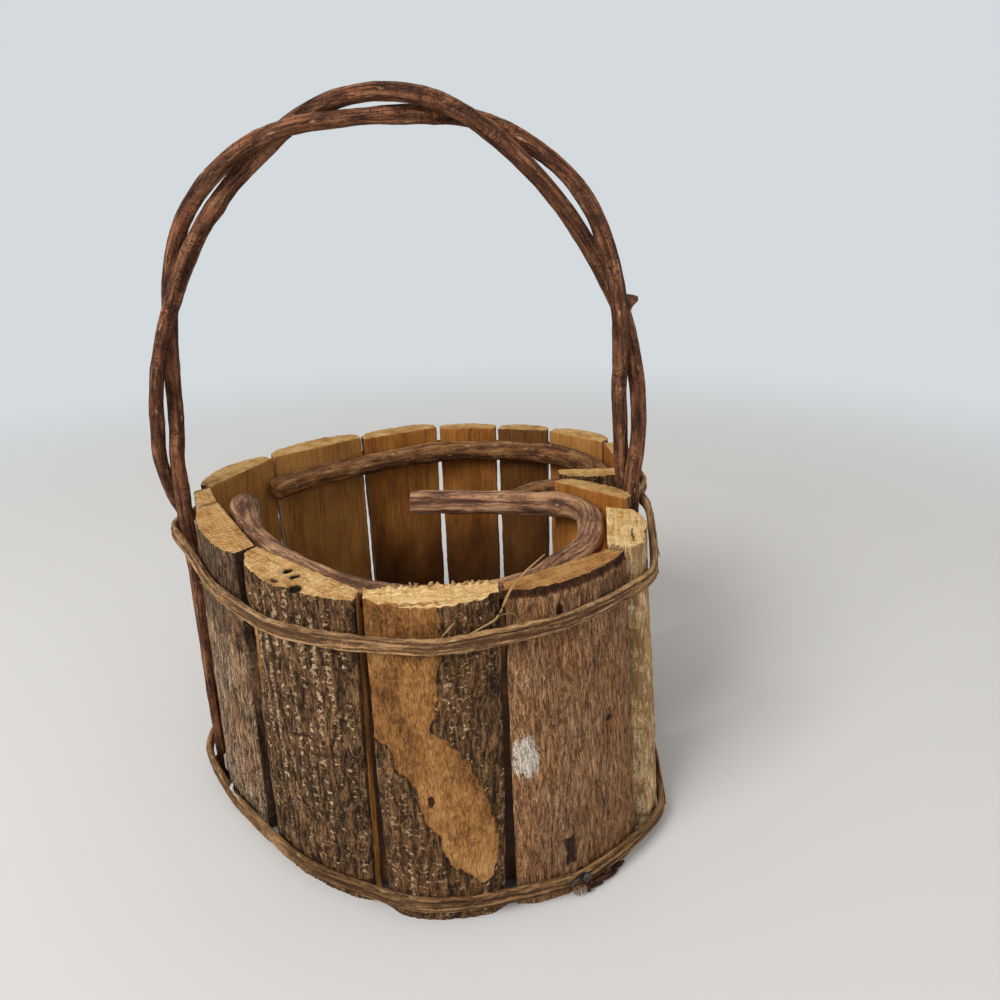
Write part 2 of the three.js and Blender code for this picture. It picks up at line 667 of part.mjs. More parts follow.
geometries.set('upper_band', bandGeometry({
  height: rimHeight - upperBandDrop,
  rises: [
    [0, 4], [0.05, 1], [0.12, 0], [0.25, -0.2], [0.33, -2.2], [0.4, -3.6], [0.46, 0.5], [0.75, 0], [1, 1],
  ],
  ease: 0.3,
  phase: 0,
}));
geometries.set('lower_band', bandGeometry({
  height: lowerBandHeight,
  rises: [
    [0, 1.5], [0.06, 0], [0.1, -2.4], [0.16, -1.4], [0.3, -0.2], [0.4, -1], [0.5, 0.5], [0.75, 0], [1, 0.5],
  ],
  ease: 2.2,
  phase: 2,
}));

bandNails.forEach((nail, index) => geometries.set(`band_nail_${index + 1}`, nailGeometry(nail)));
for (const name of ['base_board', 'lower_band']) {
  geometries.set(name, drilled(geometries.get(name), bandNails));
}
for (const nail of bandNails) {
  geometries.set(nail.stave, drilled(geometries.get(nail.stave), [nail]));
}

// What each sub-part is made of, by the start of its name.
const finishes = [
  ['stave_front_1', materials.greyBark],
  ['stave_front_4', materials.redBark],
  ['stave_front_5', materials.paleBark],
  ['stave', materials.bark],
  ['base_board', materials.board],
  ['handle_vine', materials.vine],
  ['inner_twig', materials.twig],
  ['band_nail', materials.nail],
  ['', materials.band],
];

const basket = new THREE.Group();
for (const [name, geometry] of geometries) {
  const [, material] = finishes.find(([start]) => name.startsWith(start));
  const mesh = new THREE.Mesh(positionOnly(geometry), material);
  mesh.name = name;
  basket.add(mesh);
}

// The origin lies on the resting plane under the middle of the whole basket.
const middle = new THREE.Box3().setFromObject(basket).getCenter(new THREE.Vector3());
basket.position.set(-middle.x, -middle.y, 0);

export default new THREE.Group().add(basket);
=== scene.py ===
"""Looks of a heart-shaped basket of bark staves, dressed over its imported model.

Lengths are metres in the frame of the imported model: +Z is up, +X runs from the blunt tip of the heart to
its cleft and -Y is the front. Names that end in _mm hold millimetres.
"""

import logging
import math
from dataclasses import dataclass, field
from enum import Enum

import bmesh
import bpy
import numpy as np
from mathutils import Matrix, Vector


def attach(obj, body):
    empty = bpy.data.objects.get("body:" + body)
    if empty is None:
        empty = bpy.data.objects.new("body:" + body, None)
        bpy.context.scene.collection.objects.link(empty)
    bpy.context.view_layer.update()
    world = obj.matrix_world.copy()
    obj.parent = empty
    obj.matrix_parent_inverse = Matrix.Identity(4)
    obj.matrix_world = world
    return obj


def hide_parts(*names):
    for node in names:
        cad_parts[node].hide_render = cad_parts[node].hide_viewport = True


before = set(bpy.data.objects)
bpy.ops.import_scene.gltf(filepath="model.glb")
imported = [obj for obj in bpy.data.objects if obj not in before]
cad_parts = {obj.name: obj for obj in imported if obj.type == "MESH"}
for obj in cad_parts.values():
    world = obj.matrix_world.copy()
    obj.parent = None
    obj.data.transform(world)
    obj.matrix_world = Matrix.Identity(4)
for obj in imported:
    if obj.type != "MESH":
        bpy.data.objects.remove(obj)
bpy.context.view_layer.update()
MM = 0.001
BODY = "root"
log = logging.getLogger("basket")

Triple = tuple[float, float, float]
Tones = tuple[str, str, str]


# Small helpers


def tint(code: str) -> Triple:
    """Turns a colour such as "8a6a48" into linear red, green and blue.

    Args:
        code: Six hexadecimal digits as a screen shows them.

    Returns:
        The linear colour.
    """
    parts = [int(code[at : at + 2], 16) / 255 for at in (0, 2, 4)]
    return tuple(part / 12.92 if part <= 0.04045 else ((part + 0.055) / 1.055) ** 2.4 for part in parts)


def eased(value: np.ndarray, low: float, high: float) -> np.ndarray:
    """Rises smoothly from 0 at low to 1 at high, or falls if low is the greater."""
    share = np.clip((value - low) / (high - low), 0, 1)
    return share * share * (3 - 2 * share)


def unit(rows: np.ndarray) -> np.ndarray:
    """Scales each row to length 1."""
    return rows / np.linalg.norm(rows, axis=1)[:, None]


def stations_along(points: np.ndarray) -> np.ndarray:
    """Gives how far along their line each of some points lies."""
    return np.concatenate([[0], np.cumsum(np.linalg.norm(np.diff(points, axis=0), axis=1))])


def smooth_line(points: np.ndarray, stations: np.ndarray, at: np.ndarray) -> np.ndarray:
    """Gives places on a smooth curve through points.

    Args:
        points: The points, one to each row.
        stations: How far along the curve each point lies.
        at: How far along it the wanted places lie.

    Returns:
        The places, one to each row.
    """
    slope = np.gradient(points, stations, axis=0)
    index = np.clip(np.searchsorted(stations, at, side="right") - 1, 0, len(points) - 2)
    span = (stations[index + 1] - stations[index])[:, None]
    t = (at - stations[index])[:, None] / span
    return (
        (2 * t**3 - 3 * t**2 + 1) * points[index]
        + (t**3 - 2 * t**2 + t) * span * slope[index]
        + (3 * t**2 - 2 * t**3) * points[index + 1]
        + (t**3 - t**2) * span * slope[index + 1]
    )


class Grain:
    """Smooth noise between about -1 and 1 that is the same on every run."""

    SLOPES = 256
    GAIN = 1.6

    def __init__(self, seed: int) -> None:
        """Draws the slopes of the noise.

        Args:
            seed: Seed of the random draw.
        """
        draw = np.random.default_rng(seed)
        self.order = np.tile(draw.permutation(self.SLOPES), 3)
        self.slopes = unit(draw.normal(size=(self.SLOPES, 3)))

    def __call__(self, *axes: np.ndarray | float) -> np.ndarray:
        """Gives the noise at places.

        Args:
            axes: Three arrays or numbers, one feature to each unit.

        Returns:
            One value to each place.
        """
        place = np.stack(np.broadcast_arrays(*axes), -1).astype(float)
        cell = np.floor(place).astype(int)
        inside = place - cell
        ease = inside**3 * (inside * (inside * 6 - 15) + 10)
        total = np.zeros(place.shape[:-1])
        for corner in np.ndindex(2, 2, 2):
            at = (cell + corner) % self.SLOPES
            pick = self.order[self.order[self.order[at[..., 0]] + at[..., 1]] + at[..., 2]]
            reach = (self.slopes[pick] * (inside - corner)).sum(-1)
            total += reach * np.where(np.array(corner) == 1, ease, 1 - ease).prod(-1)
        return total * self.GAIN


GRAIN = Grain(11)


# Materials


class Flow:
    """A shader value that takes part in sums as a number does."""

    def __init__(self, graph: "Graph", socket: bpy.types.NodeSocket) -> None:
        """Wraps an output socket of a graph."""
        self.graph = graph
        self.socket = socket

    def __add__(self, other: "Flow | float") -> "Flow":
        """Adds."""
        return self.graph.math("ADD", self, other)

    def __sub__(self, other: "Flow | float") -> "Flow":
        """Takes away."""
        return self.graph.math("SUBTRACT", self, other)

    def __rsub__(self, other: "Flow | float") -> "Flow":
        """Takes this value away from a number."""
        return self.graph.math("SUBTRACT", other, self)

    def __mul__(self, other: "Flow | float") -> "Flow":
        """Multiplies."""
        return self.graph.math("MULTIPLY", self, other)

    def __lt__(self, other: "Flow | float") -> "Flow":
        """Gives 1 where this value is the lesser, and 0 elsewhere."""
        return self.graph.math("LESS_THAN", self, other)

    def sine(self) -> "Flow":
        """Gives the sine."""
        return self.graph.math("SINE", self)

    def size(self) -> "Flow":
        """Gives the value without its sign."""
        return self.graph.math("ABSOLUTE", self)

    def most(self, other: "Flow | float") -> "Flow":
        """Gives the greater of two values."""
        return self.graph.math("MAXIMUM", self, other)

    def between(self, low: float, high: float) -> "Flow":
        """Rises smoothly from 0 at low to 1 at high, or falls if low is the greater.

        Args:
            low: The value that gives 0.
            high: The value that gives 1.

        Returns:
            The share.
        """
        first, last = (0.0, 1.0) if low < high else (1.0, 0.0)
        inputs = {0: self, 1: min(low, high), 2: max(low, high), 3: first, 4: last}
        return self.graph.flow("ShaderNodeMapRange", {"interpolation_type": "SMOOTHSTEP"}, inputs)

    def vein(self, wide: float, narrow: float, middle: float = 0.5) -> "Flow":
        """Gives 1 where this value is within narrow of a middle one, and 0 from wide outwards."""
        return (self - middle).size().between(wide, narrow)


class Graph:
    """The node tree of one material or of the world."""

    def __init__(self, tree: bpy.types.NodeTree) -> None:
        """Empties a node tree and takes it over."""
        self.tree = tree
        tree.nodes.clear()

    def node(
        self,
        kind: str,
        settings: dict[str, object] | None = None,
        inputs: dict[int | str, object] | None = None,
    ) -> bpy.types.Node:
        """Adds a node.

        Args:
            kind: The node's type.
            settings: Its settings, set first. stops is a list of place and colour for a ramp.
            inputs: Values or flows for its sockets.

        Returns:
            The node.
        """
        node = self.tree.nodes.new(kind)
        for name, value in (settings or {}).items():
            if name != "stops":
                setattr(node, name, value)
                continue
            stops = node.color_ramp.elements
            while len(stops) < len(value):
                stops.new(1.0)
            for stop, (place, colour) in zip(stops, value):
                stop.position = place
                stop.color = (*colour, 1.0)
        for key, value in (inputs or {}).items():
            socket = node.inputs[key]
            if isinstance(value, Flow):
                self.tree.links.new(value.socket, socket)
            elif isinstance(value, tuple) and socket.type == "RGBA":
                socket.default_value = (*value, 1.0)
            else:
                socket.default_value = value
        return node

    def flow(
        self,
        kind: str,
        settings: dict[str, object] | None = None,
        inputs: dict[int | str, object] | None = None,
        output: int | str = 0,
    ) -> Flow:
        """Adds a node and gives one of its outputs."""
        return Flow(self, self.node(kind, settings, inputs).outputs[output])

    def math(self, operation: str, *values: "Flow | float") -> Flow:
        """Adds a Math node."""
        return self.flow("ShaderNodeMath", {"operation": operation}, dict(enumerate(values)))

    def attribute(self, name: str, output: str = "Fac") -> Flow:
        """Reads an attribute of the mesh."""
        return self.flow("ShaderNodeAttribute", {"attribute_name": name}, {}, output)

    def position(self) -> Flow:
        """Gives the place in the basket's frame."""
        return self.flow("ShaderNodeTexCoord", {}, {}, "Object")

    def axes(self, vector: Flow) -> list[Flow]:
        """Splits a vector into its three parts."""
        node = self.node("ShaderNodeSeparateXYZ", {}, {0: vector})
        return [Flow(self, output) for output in node.outputs]

    def vector_math(self, operation: str, first: Flow, second: Flow | Triple) -> Flow:
        """Adds a Vector Math node."""
        return self.flow("ShaderNodeVectorMath", {"operation": operation}, {0: first, 1: second})

    def scaled(self, vector: Flow, by: Triple) -> Flow:
        """Stretches a vector along each axis."""
        return self.vector_math("MULTIPLY", vector, by)

    def warped(self, vector: Flow, scale: float, amount: float) -> Flow:
        """Moves a vector about by a slow noise.

        Args:
            vector: The vector to move.
            scale: Features of the noise to the metre.
            amount: How far it moves, in metres.

        Returns:
            The moved vector.
        """
        inputs = {"Vector": vector, "Scale": scale, "Detail": 2.0}
        colour = self.flow("ShaderNodeTexNoise", {}, inputs, "Color")
        centred = self.vector_math("SUBTRACT", colour, (0.5, 0.5, 0.5))
        return self.vector_math("ADD", vector, self.scaled(centred, (amount, amount, amount)))

    def noise(self, vector: Flow, by: Triple, detail: float = 3.0, rough: float = 0.55) -> Flow:
        """Gives a noise with so many features to the metre along each axis."""
        inputs = {"Vector": self.scaled(vector, by), "Scale": 1.0, "Detail": detail, "Roughness": rough}
        return self.flow("ShaderNodeTexNoise", {}, inputs)

    def cells(self, vector: Flow, by: Triple) -> tuple[Flow, Flow]:
        """Scatters points.

        Args:
            vector: The place.
            by: Points to the metre along each axis.

        Returns:
            The distance to the nearest point, and a random value to each point.
        """
        node = self.node("ShaderNodeTexVoronoi", {}, {"Vector": self.scaled(vector, by), "Scale": 1.0})
        pick = self.flow("ShaderNodeSeparateColor", {}, {0: Flow(self, node.outputs["Color"])})
        return Flow(self, node.outputs["Distance"]), pick

    def ramp(self, factor: Flow, *stops: tuple[float, str]) -> Flow:
        """Turns a value into a colour between stops."""
        listed = [(place, tint(code)) for place, code in stops]
        return self.flow("ShaderNodeValToRGB", {"stops": listed}, {0: factor})

    def mix(self, factor: Flow | float, low: Flow | str, high: Flow | str) -> Flow:
        """Mixes two colours.

        Args:
            factor: The share of the second colour.
            low: The first colour.
            high: The second colour.

        Returns:
            The mixed colour.
        """
        ends = [tint(end) if isinstance(end, str) else end for end in (low, high)]
        settings = {"data_type": "RGBA", "blend_type": "MIX", "clamp_factor": True}
        return self.flow("ShaderNodeMix", settings, {0: factor, 6: ends[0], 7: ends[1]}, 2)

    def shaded(self, colour: Flow | Triple, by: Flow) -> Flow:
        """Multiplies a colour by a value."""
        return self.flow("ShaderNodeVectorMath", {"operation": "SCALE"}, {0: colour, "Scale": by})

    def ends(self, shader: bpy.types.Node, kind: str = "ShaderNodeOutputMaterial") -> None:
        """Ends the graph in a shader."""
        self.tree.links.new(shader.outputs[0], self.node(kind).inputs[0])

    def surface(
        self, colour: Flow, roughness: Flow | float, height: Flow, bump: float, gloss: float = 0.25
    ) -> None:
        """Ends the graph in a surface with a fine relief.

        Args:
            colour: The base colour.
            roughness: The roughness.
            height: Height of the fine relief, in millimetres.
            bump: Strength of the fine relief.
            gloss: The specular level, one value all over.
        """
        relief = {"Strength": bump, "Distance": MM, "Height": height}
        normal = self.flow("ShaderNodeBump", {}, relief, "Normal")
        look = {"Base Color": colour, "Roughness": roughness, "Normal": normal, "Specular IOR Level": gloss}
        self.ends(self.node("ShaderNodeBsdfPrincipled", {}, look))


# Colours that several finishes share
# The dark stain colour serves both the scars' dark stains and the painted shade on the staves' side faces.
DARK_STAIN_AND_SHADE = "2a170b"
CHALK = "e6dccd"
SAW_MARK = "7a5026"
# Near-black painted shade in the pits of the cut ends.
PIT_SHADE = "1a0f07"
WARM_LAYER = "9a5a24"

# Metres from one row of a bark's flecks to the next
FLECK_ROWS = 0.0043


@dataclass(frozen=True)
class Finish:
    """A finish that makes one material."""

    name: str

    def paint(self, graph: Graph) -> None:
        """Fills the material's graph."""
        raise NotImplementedError

    def material(self) -> bpy.types.Material:
        """Makes the finish's material when it is first asked for.

        Returns:
            The material.
        """
        name = f"{self.name}_finish"
        made = bpy.data.materials.get(name)
        if made is None:
            made = bpy.data.materials.new(name)
            made.use_nodes = True
            self.paint(Graph(made.node_tree))
        return made


@dataclass(frozen=True)
class Bark(Finish):
    """Bark over split wood, with bare wood where the cover is gone.

    tone holds the colours from the hollows to the ridges, warm is a second hue that the bark takes in
    clouds, and bare holds the colours of the wood. fleck and halo colour the pale flecks and what is round
    them, and flecks says how thickly they stand in their rows. fibre and fibre_length are the numbers of
    fibres to the metre across the stave and along it. cracks and hairs are the strengths of the wide and
    the fine cracks, softness widens the steps between the tones, and speck is the share of fine specks.
    """

    tone: Tones = ("2b1c11", "5b4330", "8a7058")
    warm: str = "6a4026"
    clouds: float = 0.5
    bare: Tones = ("5e3a1a", "9c6a38", "c2915a")
    fleck: str = "dcc29a"
    halo: str = "8a6644"
    flecks: float = 0.0
    fibre: float = 1300.0
    fibre_length: float = 150.0
    cracks: float = 0.75
    hairs: float = 0.6
    softness: float = 1.0
    speck: float = 0.4
    roughness: float = 0.9

    def paint(self, graph: Graph) -> None:
        """Fills the material's graph.

        Args:
            graph: The empty graph.
        """
        place = graph.attribute("place", "Vector")
        cover = graph.attribute("cover")
        wavy = graph.warped(graph.warped(place, 110, 0.003), 700, 0.0005)
        fibres = graph.noise(wavy, (self.fibre, self.fibre * 0.6, self.fibre_length), 6, 0.65)
        speck = graph.noise(place, (2700, 1900, 1900), 4, 0.7)
        crack = self.crack_lines(graph, wavy)
        # Lower in the relief is darker: painted shade in its hollows.
        tone = fibres * (1 - self.speck) + speck * self.speck + graph.attribute("hollow") * 0.3
        colour = self.bark_colour(graph, place, tone, crack)
        if self.flecks:
            colour = self.flecked(graph, place, colour, speck)
        wood, gash, bare = self.bare_wood(graph, place, wavy)
        ragged = cover + (graph.noise(place, (900, 400, 420), 5, 0.72) - 0.5) * 2.0
        covered = ragged.between(-0.1, 0.1)
        # Painted shadow: a dark line along the bark's torn edge, on the bare wood below it.
        bare = graph.mix(ragged.vein(0.6, 0.0, 0.05) * 0.75, bare, self.tone[0])
        colour = graph.mix(covered, bare, colour)
        # Dark where the scars stain the bark, and painted shade where a side face stands in the gap between
        # staves.
        stain = graph.attribute("stain")
        colour = graph.mix(stain.between(-0.15, -0.85) * 0.92, colour, DARK_STAIN_AND_SHADE)
        chalk = (stain + (fibres - 0.5) * 1.2 + (speck - 0.5) * 2.6).between(0.2, 0.9)
        colour = graph.mix(chalk * (1 - crack * 0.6) * stain.between(0.0, 0.1), colour, CHALK)
        height = fibres * 0.6 + speck * 0.45 - crack * 0.35 * covered
        height = height + (wood - gash * 0.3) * (1 - covered) * 0.4
        graph.surface(colour, self.roughness, height, 1.0, 0.2)

    def crack_lines(self, graph: Graph, wavy: Flow) -> Flow:
        """Gives a value that is high in the cracks between fibres.

        Args:
            graph: The graph to add to.
            wavy: The place on the stave, moved about.

        Returns:
            The value, from 0 to 1.
        """
        by = (self.fibre * 0.4, self.fibre * 0.3, self.fibre_length * 0.45)
        wide = graph.noise(wavy, by, 3, 0.6).vein(0.034, 0.004)
        by = (self.fibre * 0.75, self.fibre * 0.5, self.fibre_length * 1.3)
        fine = graph.noise(wavy, by, 2, 0.5).vein(0.016, 0.003)
        return wide.most(fine * self.hairs)

    def bark_colour(self, graph: Graph, place: Flow, tone: Flow, crack: Flow) -> Flow:
        """Colours the bark without its flecks.

        Args:
            graph: The graph to add to.
            place: The place on the stave.
            tone: How light the bark is.
            crack: Where its cracks are.

        Returns:
            The colour.
        """
        low, high = 0.5 - 0.08 * self.softness, 0.5 + 0.09 * self.softness
        colour = graph.ramp(tone, (low, self.tone[0]), (0.5, self.tone[1]), (high, self.tone[2]))
        slow = graph.noise(place, (95, 60, 48), 4, 0.6)
        warmed = graph.shaded(tint(self.warm), tone * 5 - 1.5)
        colour = graph.mix(slow.between(0.44, 0.62) * self.clouds, colour, warmed)
        return graph.mix(crack * self.cracks, colour, self.tone[0])

    def flecked(self, graph: Graph, place: Flow, colour: Flow, speck: Flow) -> Flow:
        """Adds pale flecks, which stand in wavy upright rows.

        Args:
            graph: The graph to add to.
            place: The place on the stave.
            colour: The bark's colour.
            speck: Fine specks that break the flecks up.

        Returns:
            The colour with its flecks.
        """
        across = graph.axes(graph.warped(place, 75, 0.0035))[0]
        row = (across * (math.tau / FLECK_ROWS)).sine().between(-0.6, 0.95)
        marks = graph.noise(graph.warped(place, 800, 0.0004), (680, 480, 860), 3, 0.68)
        patchy = graph.noise(place, (130, 60, 70), 3, 0.6)
        marks = marks + row * graph.attribute("crowd") * self.flecks * 0.15 + (patchy - 0.5) * 0.25
        colour = graph.mix(marks.between(0.55, 0.67) * 0.5, colour, self.halo)
        paler = graph.mix(speck.between(0.4, 0.56), self.halo, self.fleck)
        return graph.mix(marks.between(0.645, 0.71), colour, paler)

    def bare_wood(self, graph: Graph, place: Flow, wavy: Flow) -> tuple[Flow, Flow, Flow]:
        """Makes the wood that shows where the bark is gone.

        Args:
            graph: The graph to add to.
            place: The place on the stave.
            wavy: The same place, moved about.

        Returns:
            The height of its fibres, where it is split, and its colour.
        """
        wood = graph.noise(wavy, (1500, 1100, 620), 6, 0.72)
        gash = graph.noise(wavy, (520, 420, 55), 3, 0.6).vein(0.02, 0.002)
        grain = wood * 0.55 + graph.noise(place, (75, 60, 50), 6, 0.7) * 0.65
        bare = graph.ramp(grain, (0.46, self.bare[0]), (0.59, self.bare[1]), (0.71, self.bare[2]))
        return wood, gash, graph.mix(gash * 0.5, bare, self.tone[0])


@dataclass(frozen=True)
class SplitWood(Finish):
    """Split or worn wood with an upright grain, as on the inner and side faces of the staves.

    Its stain colour marks its streaks, whose strength is streaks, and is also the painted shade that darkens
    it towards its foot, as far as shade says. lying turns the grain level, for the board.
    """

    tone: Tones = ("70441c", "94632f", "ad7c43")
    stain: str = "55310f"
    roughness: float = 0.6
    streaks: float = 0.35
    shade: float = 0.8
    lying: bool = False

    def paint(self, graph: Graph) -> None:
        """Fills the material's graph.

        Args:
            graph: The empty graph.
        """
        place = graph.attribute("place", "Vector")
        if self.lying:
            along, across, up = graph.axes(graph.position())
            place = graph.flow("ShaderNodeCombineXYZ", {}, {0: across, 1: up, 2: along})
        warped = graph.warped(place, 60, 0.003)
        lines = graph.noise(warped, (1500, 1200, 22), 6, 0.62)
        slow = graph.noise(place, (60, 50, 26), 4, 0.62)
        tone = lines * 0.42 + slow * 0.58 + (graph.noise(place, (2400, 2400, 600), 3, 0.7) - 0.5) * 0.25
        colour = graph.ramp(tone, (0.38, self.tone[0]), (0.52, self.tone[1]), (0.66, self.tone[2]))
        streak = graph.noise(warped, (330, 300, 9), 3, 0.6).between(0.56, 0.7)
        colour = graph.mix(streak * self.streaks, colour, self.stain)
        gash = graph.noise(warped, (260, 240, 14), 2, 0.5).vein(0.006, 0.0)
        colour = graph.mix(gash * self.streaks, colour, self.stain)
        # Dark where the scars stain the wood, and painted shade on the side faces in the gaps between staves.
        colour = graph.mix(graph.attribute("stain").between(-0.1, -0.9) * 0.92, colour, DARK_STAIN_AND_SHADE)
        # Painted shade: the wood darkens towards its foot, as the inside of the basket is shaded.
        if not self.lying:
            up = graph.axes(place)[2]
            painted_foot_shade = (up + (slow - 0.5) * 0.06).between(0.095, 0.025)
            colour = graph.mix(painted_foot_shade * self.shade, colour, self.stain)
        height = lines * 0.4 + graph.noise(place, (1800, 1800, 240), 2, 0.6) * 0.2
        graph.surface(colour, self.roughness, height, 0.5, 0.35)


class EndCut(Enum):
    """How the end of a stave was cut."""

    SAWN = "sawn"
    RIDGED = "ridged"
    TORN = "torn"
    PITTED = "pitted"


@dataclass(frozen=True)
class SawMarks:
    """Marks of a saw: how dark they are, metres from one to the next, and how far they slant."""

    strength: float
    pitch: float
    slant: float


SAW_MARKS = {EndCut.RIDGED: SawMarks(0.55, 0.0013, -0.35), EndCut.PITTED: SawMarks(0.13, 0.0031, -0.85)}


@dataclass(frozen=True)
class EndGrain(Finish):
    """Cut end of a stave: pale wood with layers along the bark and open pores."""

    tone: Tones = ("8f6331", "c49657", "e3c08a")
    pore: str = "5a3514"
    cut: EndCut = EndCut.SAWN

    def paint(self, graph: Graph) -> None:
        """Fills the material's graph.

        Args:
            graph: The empty graph.
        """
        place = graph.attribute("place", "Vector")
        position = graph.position()
        warped = graph.warped(place, 160, 0.0016)
        layers = graph.noise(warped, (70, 1300, 60), 4, 0.6)
        speck = graph.noise(position, (1900, 1900, 1900), 4, 0.7)
        slow = graph.noise(position, (170, 170, 60), 4, 0.62)
        tone = layers * 0.35 + speck * 0.4 + slow * 0.4
        colour = graph.ramp(tone, (0.45, self.tone[0]), (0.57, self.tone[1]), (0.7, self.tone[2]))
        bands = graph.noise(warped, (45, 420, 40), 2, 0.5).vein(0.012, 0.0)
        colour = graph.mix(bands * 0.5, colour, self.pore)
        distance, pick = graph.cells(position, (1500, 1500, 400))
        pores = distance.between(0.3, 0.16) * (pick < 0.35)
        colour = graph.mix(pores * 0.45, colour, self.pore)
        height = speck * 0.8 + layers * 0.4
        if self.cut in SAW_MARKS:
            marks = SAW_MARKS[self.cut]
            x, y, _ = graph.axes(graph.warped(position, 220, 0.0017))
            saw = ((y * 0.97 + x * marks.slant) * (math.tau / marks.pitch)).sine()
            colour = graph.mix(saw.between(0.3, -0.9) * marks.strength, colour, SAW_MARK)
            height = height * 0.6 + saw * 0.75 * marks.strength
        if self.cut in (EndCut.TORN, EndCut.PITTED):
            height = height + graph.noise(position, (500, 500, 500), 4, 0.7) * 1.2
        hollow = graph.attribute("hollow")
        # Painted shade: near-black in the pits of the top.
        colour = graph.mix(hollow.between(-0.3, -1.0), colour, PIT_SHADE)
        colour = graph.mix(hollow.between(0.3, 1.0) * 0.9, colour, WARM_LAYER)
        graph.surface(colour, 0.85, height, 0.8, 0.2)


@dataclass(frozen=True)
class StemBark(Finish):
    """Thin bark of a vine or twig, with ridges along it, dark spots and pale scratches.

    warm is a second hue that it takes in clouds. ridge and length are the numbers of ridges to the metre
    across the stem and along it. spots, scratches, clouds and rings say how strongly each shows.
    """

    tone: Tones = ("25140c", "6c4329", "a0744e")
    warm: str = "7c4a2c"
    spot: str = "1d0f09"
    scratch: str = "cfae86"
    ridge: float = 1200.0
    length: float = 70.0
    spots: float = 0.6
    scratches: float = 0.35
    clouds: float = 0.3
    rings: float = 0.0
    roughness: float = 0.7

    def paint(self, graph: Graph) -> None:
        """Fills the material's graph.

        Args:
            graph: The empty graph.
        """
        place = graph.attribute("place", "Vector")
        hollow = graph.attribute("hollow")
        wavy = graph.warped(graph.warped(place, 140, 0.0014), 900, 0.0004)
        lines = graph.noise(wavy, (self.ridge, self.ridge, self.length), 6, 0.65)
        speck = graph.noise(place, (2300, 2300, 1500), 4, 0.7)
        slow = graph.noise(place, (260, 260, 130), 4, 0.62)
        # Lower in the relief is darker: painted shade in its hollows and grooves.
        tone = lines * 0.42 + speck * 0.28 + slow * 0.3 + hollow * 0.4
        colour = graph.ramp(tone, (0.38, self.tone[0]), (0.5, self.tone[1]), (0.63, self.tone[2]))
        warmed = graph.shaded(tint(self.warm), tone * 5 - 1.5)
        colour = graph.mix(slow.between(0.48, 0.64) * self.clouds, colour, warmed)
        by = (self.ridge * 0.35, self.ridge * 0.35, self.length * 0.4)
        crack = graph.noise(wavy, by, 3, 0.6).vein(0.03, 0.003)
        colour = graph.mix(crack * 0.7, colour, self.tone[0])
        dark = graph.noise(place, (420, 420, 190), 4, 0.7).between(0.56, 0.68) * self.spots
        colour = graph.mix(dark, colour, self.spot)
        distance, pick = graph.cells(wavy, (520, 520, 170))
        pale = distance.between(0.26, 0.1) * (pick < self.scratches)
        colour = graph.mix(pale * 0.45, colour, self.scratch)
        ring = graph.noise(graph.warped(place, 300, 0.002), (150, 150, 330), 3, 0.6).vein(0.022, 0.003)
        ring = ring * graph.noise(place, (90, 90, 60), 2, 0.5).between(0.42, 0.6)
        colour = graph.mix(ring * self.rings, colour, self.tone[0])
        height = lines * 0.6 + speck * 0.3 - crack * 0.35 - ring * self.rings * 0.5
        graph.surface(colour, self.roughness, height, 0.85, 0.2)


@dataclass(frozen=True)
class Steel(Finish):
    """Darkened steel of a nail, mottled from dark to grey."""

    tone: Tones = ("1b1613", "4a4643", "8b8783")

    def paint(self, graph: Graph) -> None:
        """Fills the material's graph.

        Args:
            graph: The empty graph.
        """
        worn = graph.noise(graph.position(), (900, 900, 900), 4, 0.65)
        colour = graph.ramp(worn, (0.35, self.tone[0]), (0.55, self.tone[1]), (0.7, self.tone[2]))
        rough = worn.between(0.3, 0.7) * -0.3 + 0.55
        look = {"Base Color": colour, "Roughness": rough, "Metallic": 0.9}
        graph.ends(graph.node("ShaderNodeBsdfPrincipled", {}, look))


@dataclass(frozen=True)
class Glue(Finish):
    """Old whitish glue."""

    tone: tuple[str, str] = ("978c80", "c6bfb6")

    def paint(self, graph: Graph) -> None:
        """Fills the material's graph.

        Args:
            graph: The empty graph.
        """
        cloud = graph.noise(graph.position(), (500, 500, 500), 3, 0.6)
        colour = graph.ramp(cloud, (0.35, self.tone[0]), (0.6, self.tone[1]))
        graph.surface(colour, 0.35, cloud, 0.2, 0.5)


# Making pieces

# Rings on each end of a rod, which let it be domed, and the share of its radius from one to the next
CAP_RINGS = 3
CAP_STEP = 0.24


def finished(
    name: str,
    mesh_in: bmesh.types.BMesh,
    finishes: list[Finish],
    nodes: tuple[str, ...] = (),
    marks: dict[str, np.ndarray] | None = None,
) -> bpy.types.Object:
    """Turns a bmesh into a piece that rides on the basket.

    Args:
        name: The piece's name.
        mesh_in: Its shape, which is freed.
        finishes: One finish to each material index of the faces.
        nodes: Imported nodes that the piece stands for.
        marks: Values or vectors to store, one to each vertex.

    Returns:
        The piece.
    """
    mesh = bpy.data.meshes.new(name)
    bmesh.ops.recalc_face_normals(mesh_in, faces=mesh_in.faces)
    mesh_in.to_mesh(mesh)
    mesh_in.free()
    for key, values in (marks or {}).items():
        wide = values.ndim == 2
        made = mesh.attributes.new(key, "FLOAT_VECTOR" if wide else "FLOAT", "POINT")
        made.data.foreach_set("vector" if wide else "value", values.astype(np.float32).ravel())
    for finish in finishes:
        mesh.materials.append(finish.material())
    mesh.shade_smooth()
    piece = bpy.data.objects.new(name, mesh)
    bpy.context.scene.collection.objects.link(piece)
    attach(piece, BODY)
    if nodes:
        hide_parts(*nodes)
    log.info("%s: %d faces", name, len(mesh.polygons))
    return piece


